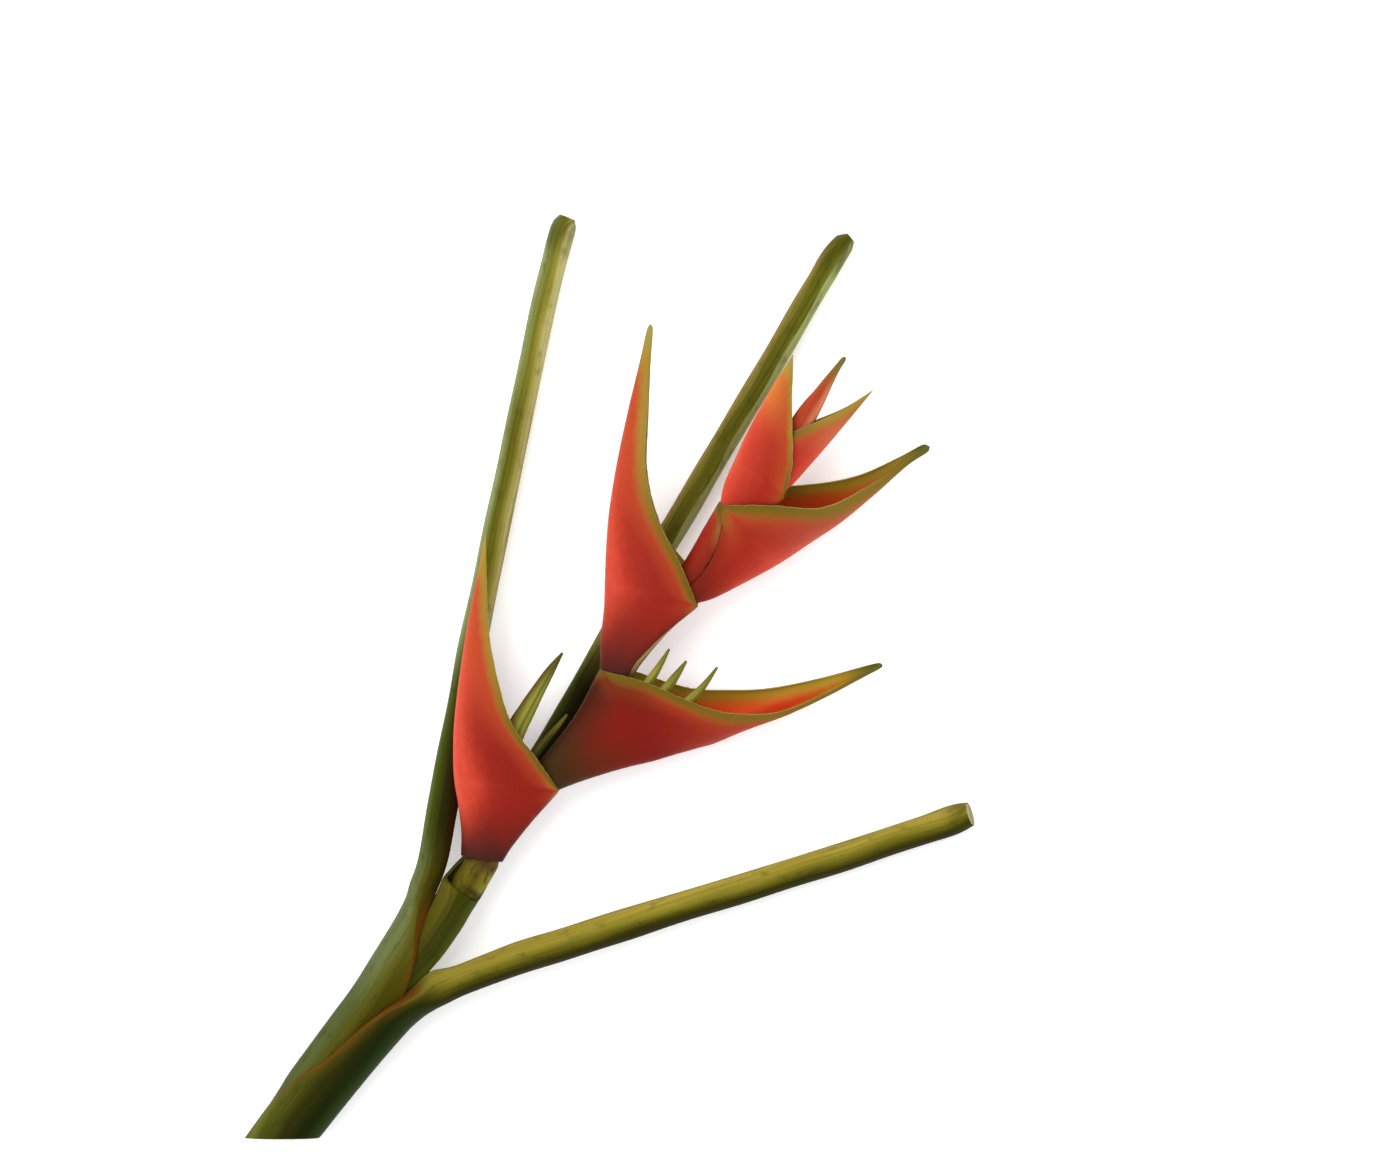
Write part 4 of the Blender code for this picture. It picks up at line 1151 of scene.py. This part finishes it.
def side_facts(skin, centre, run):
    """For the outer or the inner side: the way across, the way to the edge, and how far it faces right."""
    steps = np.linalg.norm(np.diff(skin, axis=1), axis=2)
    across = np.concatenate([np.zeros((len(skin), 1)), np.cumsum(steps, axis=1)], axis=1)
    facing = unit(np.cross(np.gradient(skin, axis=1), run))
    facing *= np.sign((facing * (skin - centre)).sum((1, 2)))[:, None, None]
    return (across - across[:, -1:] / 2, np.minimum(across, across[:, -1:] - across),
            (facing * unit(np.cross(run, UP))).sum(2))


def leaf_stalk(name, coarse, finish, swell, slant=0.0):
    """The fine skin of a sheath and its stalk. swell: height of the soft waves along it, mm. slant: how far
    the cut at its tip leans back, mm for each mm of height."""
    rings, way = between(coarse, RING_SPACING)
    count = rings.shape[1]
    outer = count // 2
    middles = rings[:, :outer].mean(1, keepdims=True)
    rings[:, :outer] += unit(rings[:, :outer] - middles) * (swell * waves(way, outer))[..., None]
    run = unit(np.gradient(middles[:, 0], axis=0))[:, None]
    above = rings[..., 2:] - rings[..., 2:].min(1, keepdims=True)
    rings -= slant * ease(way, way[-1] - SLANT_REACH, way[-1])[:, None, None] * above * run
    centre = rings.mean(1, keepdims=True)
    both_sides = [side_facts(skin, centre, run) for skin in (rings[:, :outer], rings[:, outer:])]
    facts = {fact: np.concatenate(sides, axis=1).ravel()
             for fact, sides in zip(("across_mm", "from_edge", "faces_right"), zip(*both_sides))}
    facts["along_mm"] = np.repeat(way, count)
    print(name, "is", round(way[-1]), "mm long")
    ring_piece(name + "_skin", rings, facts, [finish, cut_flesh], name, (True, True))


# %% The three leaf stalks
# Each ramp runs from the left side to the right side and carries painted light and shade. The left stalk's
# stage from 116 mm is darker as painted shade under bract 1, and the back stalk's stage from 128 mm as
# painted shade under bracts 1 and 2.
right_skin = stalk_finish("right_stalk_skin", [
    (0, [(-1, (112, 120, 46)), (-0.5, (74, 76, 10)), (0, (46, 46, 2)), (0.5, (26, 34, 1)), (1, (40, 60, 8))]),
    (78, [(-1, (178, 158, 84)), (-0.7, (172, 154, 60)), (-0.3, (154, 140, 44)), (0, (130, 120, 34)),
          (0.3, (94, 86, 12)), (0.6, (54, 50, 2)), (1, (40, 42, 8))])], 78, 286)
left_skin = stalk_finish("left_stalk_skin", [
    (0, [(-1, (80, 92, 46)), (-0.6, (88, 98, 48)), (-0.3, (86, 86, 22)), (0.1, (76, 70, 4)),
         (0.7, (62, 54, 1))]),
    (62, [(-1, (98, 112, 64)), (-0.6, (114, 122, 72)), (-0.3, (98, 98, 32)), (0.1, (76, 70, 4)),
          (0.7, (62, 54, 1))]),
    (116, [(-1, (92, 106, 44)), (-0.6, (66, 74, 8)), (-0.1, (42, 42, 1)), (0.4, (42, 28, 1)),
           (1, (66, 32, 5))]),
    (190, [(-1, (150, 160, 110)), (-0.75, (128, 136, 72)), (-0.4, (92, 92, 18)), (0, (104, 98, 18)),
           (0.4, (148, 138, 58)), (0.75, (190, 182, 112)), (1, (184, 176, 112))]),
    (286, [(-1, (158, 168, 112)), (-0.6, (126, 134, 66)), (-0.2, (124, 118, 30)), (0.15, (156, 147, 58)),
           (0.5, (200, 193, 124)), (1, (206, 199, 136))])], 99, 347)
back_skin = stalk_finish("back_stalk_skin", [
    (0, [(-1, (110, 104, 36)), (-0.6, (98, 90, 18)), (0, (64, 62, 6)), (0.5, (58, 62, 8)),
         (1, (90, 96, 24))]),
    (128, [(-1, (74, 80, 22)), (-0.5, (48, 46, 4)), (0, (30, 26, 1)), (0.6, (30, 24, 1)), (1, (56, 42, 6))]),
    (215, [(-1, (160, 122, 60)), (-0.8, (138, 126, 56)), (-0.45, (110, 104, 30)), (0.0, (92, 88, 12)),
           (0.35, (112, 112, 34)), (0.65, (164, 170, 102)), (1, (166, 172, 106))])], 0, 384)
leaf_stalk("leaf_stalk_right", side_rings(RIGHT_SHEATH, RIGHT_STALK, 1), right_skin, 0.35, 0.22)
leaf_stalk("leaf_stalk_left", side_rings(LEFT_SHEATH, LEFT_STALK, -1), left_skin, 0.25)
leaf_stalk("leaf_stalk_back", back_rings(BACK_SHEATH, BACK_STALK), back_skin, 0.2)

# %% [markdown]
# In the middle of the sheaths stands the flower stalk. It shows for a hand's width only, as a swollen
# yellow-green collar under the first bract, and then thins to the axis that the bracts clasp.

# %% The flower stalk's measures
# x, y, radius
AXIS = [(-0.95, 0, 5.1), (-0.9, 10, 5.1), (-0.8, 20, 5.1), (-0.5, 50, 5.1), (0.3, 80, 5.2),
        (0.0, 100, 5.2), (-0.2, 108, 5.2), (-0.1, 110, 5.35), (0.0, 111.4, 5.5), (0.0, 113, 5.9),
        (-0.1, 116, 5.9), (-0.3, 119, 5.9), (-0.45, 122, 5.75), (-0.5, 125, 5.3), (-0.7, 127, 4.5),
        (-0.7, 129, 3.6), (-0.6, 140, 3.4),
        (-0.2, 157, 3.4), (0, 180, 3.2), (0, 202, 2.7), (-0.3, 216, 2.2), (0, 232, 2.4), (0, 243, 2.3),
        (0.2, 250, 2.3), (-0.1, 262, 2.3), (-0.2, 275, 2.2), (0, 284, 1.9), (0, 292, 1.5), (0, 307.5, 1.0)]


# %% Skin of the collar
# How far up the stem the sheath's mouth lies, where a ring of painted shadow crosses the collar
SHEATH_MOUTH = 112
COLLAR_BLOTCH = display(58, 54, 6)
# Painted shadow at the sheath's mouth
SHEATH_MOUTH_SHADOW = display(40, 48, 6)


def collar_finish():
    """Yellow-green with darker blotches, a ring of painted shadow at the sheath's mouth, and a purple painted
    shadow under the first bract.
    """
    paint = Paint("flower_stalk_skin")
    down, right = paint.fact("along_mm"), paint.fact("faces_right")
    blotch = paint.cloud(5, 2.5, 4)
    colour = paint.ramp(right, [(-1, (84, 76, 12)), (-0.5, (104, 94, 16)), (0.2, (86, 74, 2)),
                                (0.7, (134, 122, 34)), (1, (152, 140, 54))])
    colour = paint.layer(colour, COLLAR_BLOTCH, paint.step(blotch, 0.5, 0.66), 0.7)
    # Painted shadow of the sheath's mouth, on the right side only
    mouth_shadow = paint.step(paint.maths("ABSOLUTE", paint.maths("SUBTRACT", down, SHEATH_MOUTH)), 2.2, 0.2)
    colour = paint.layer(colour, SHEATH_MOUTH_SHADOW, mouth_shadow, paint.step(right, -0.3, 0.4), 0.8)
    # Painted shadow of the first bract's foot on the collar's top
    colour = paint.layer(colour, FOOT_PURPLE, paint.step(down, 119, 123), 0.6)
    paint.relief(paint.cloud(12, 0.7, 3), 0.25)
    return paint.done(colour, 0.5, 0.07)


# %% The flower stalk
AROUND_STALK = 64
STALK_SPACING = 1.5
STALK_RADIUS = 5
# The collar's five soft bumps: their height as a share of the radius, and where they come in
BUMP = 0.02
BUMPS_START, BUMPS_FULL = 108, 114
# How far up the stem its cut end is still slanted
CUT_REACH = 20

turn = np.arange(AROUND_STALK) * 2 * np.pi / AROUND_STALK
rows = between(np.array(AXIS, float)[:, None, :], STALK_SPACING)[0][:, 0]
rings = []
for x, y, r in rows:
    bumpy = r * (1 + BUMP * np.sin(5 * turn + y / 9) * ease(y, BUMPS_START, BUMPS_FULL))
    side, rise = x + bumpy * np.cos(turn), bumpy * np.sin(turn)
    rings.append(np.stack([side, y + CUT_SLOPE * side * ease(y, CUT_REACH, 0), axis_height(y) + rise], 1))
facts = {"along_mm": np.repeat(rows[:, 1], AROUND_STALK),
         "across_mm": np.tile(turn * STALK_RADIUS, len(rows)),
         "faces_right": np.tile(np.cos(turn), len(rows))}
ring_piece("flower_stalk_skin", rings, facts, [collar_finish(), cut_flesh], "flower_stalk",
           (True, True))
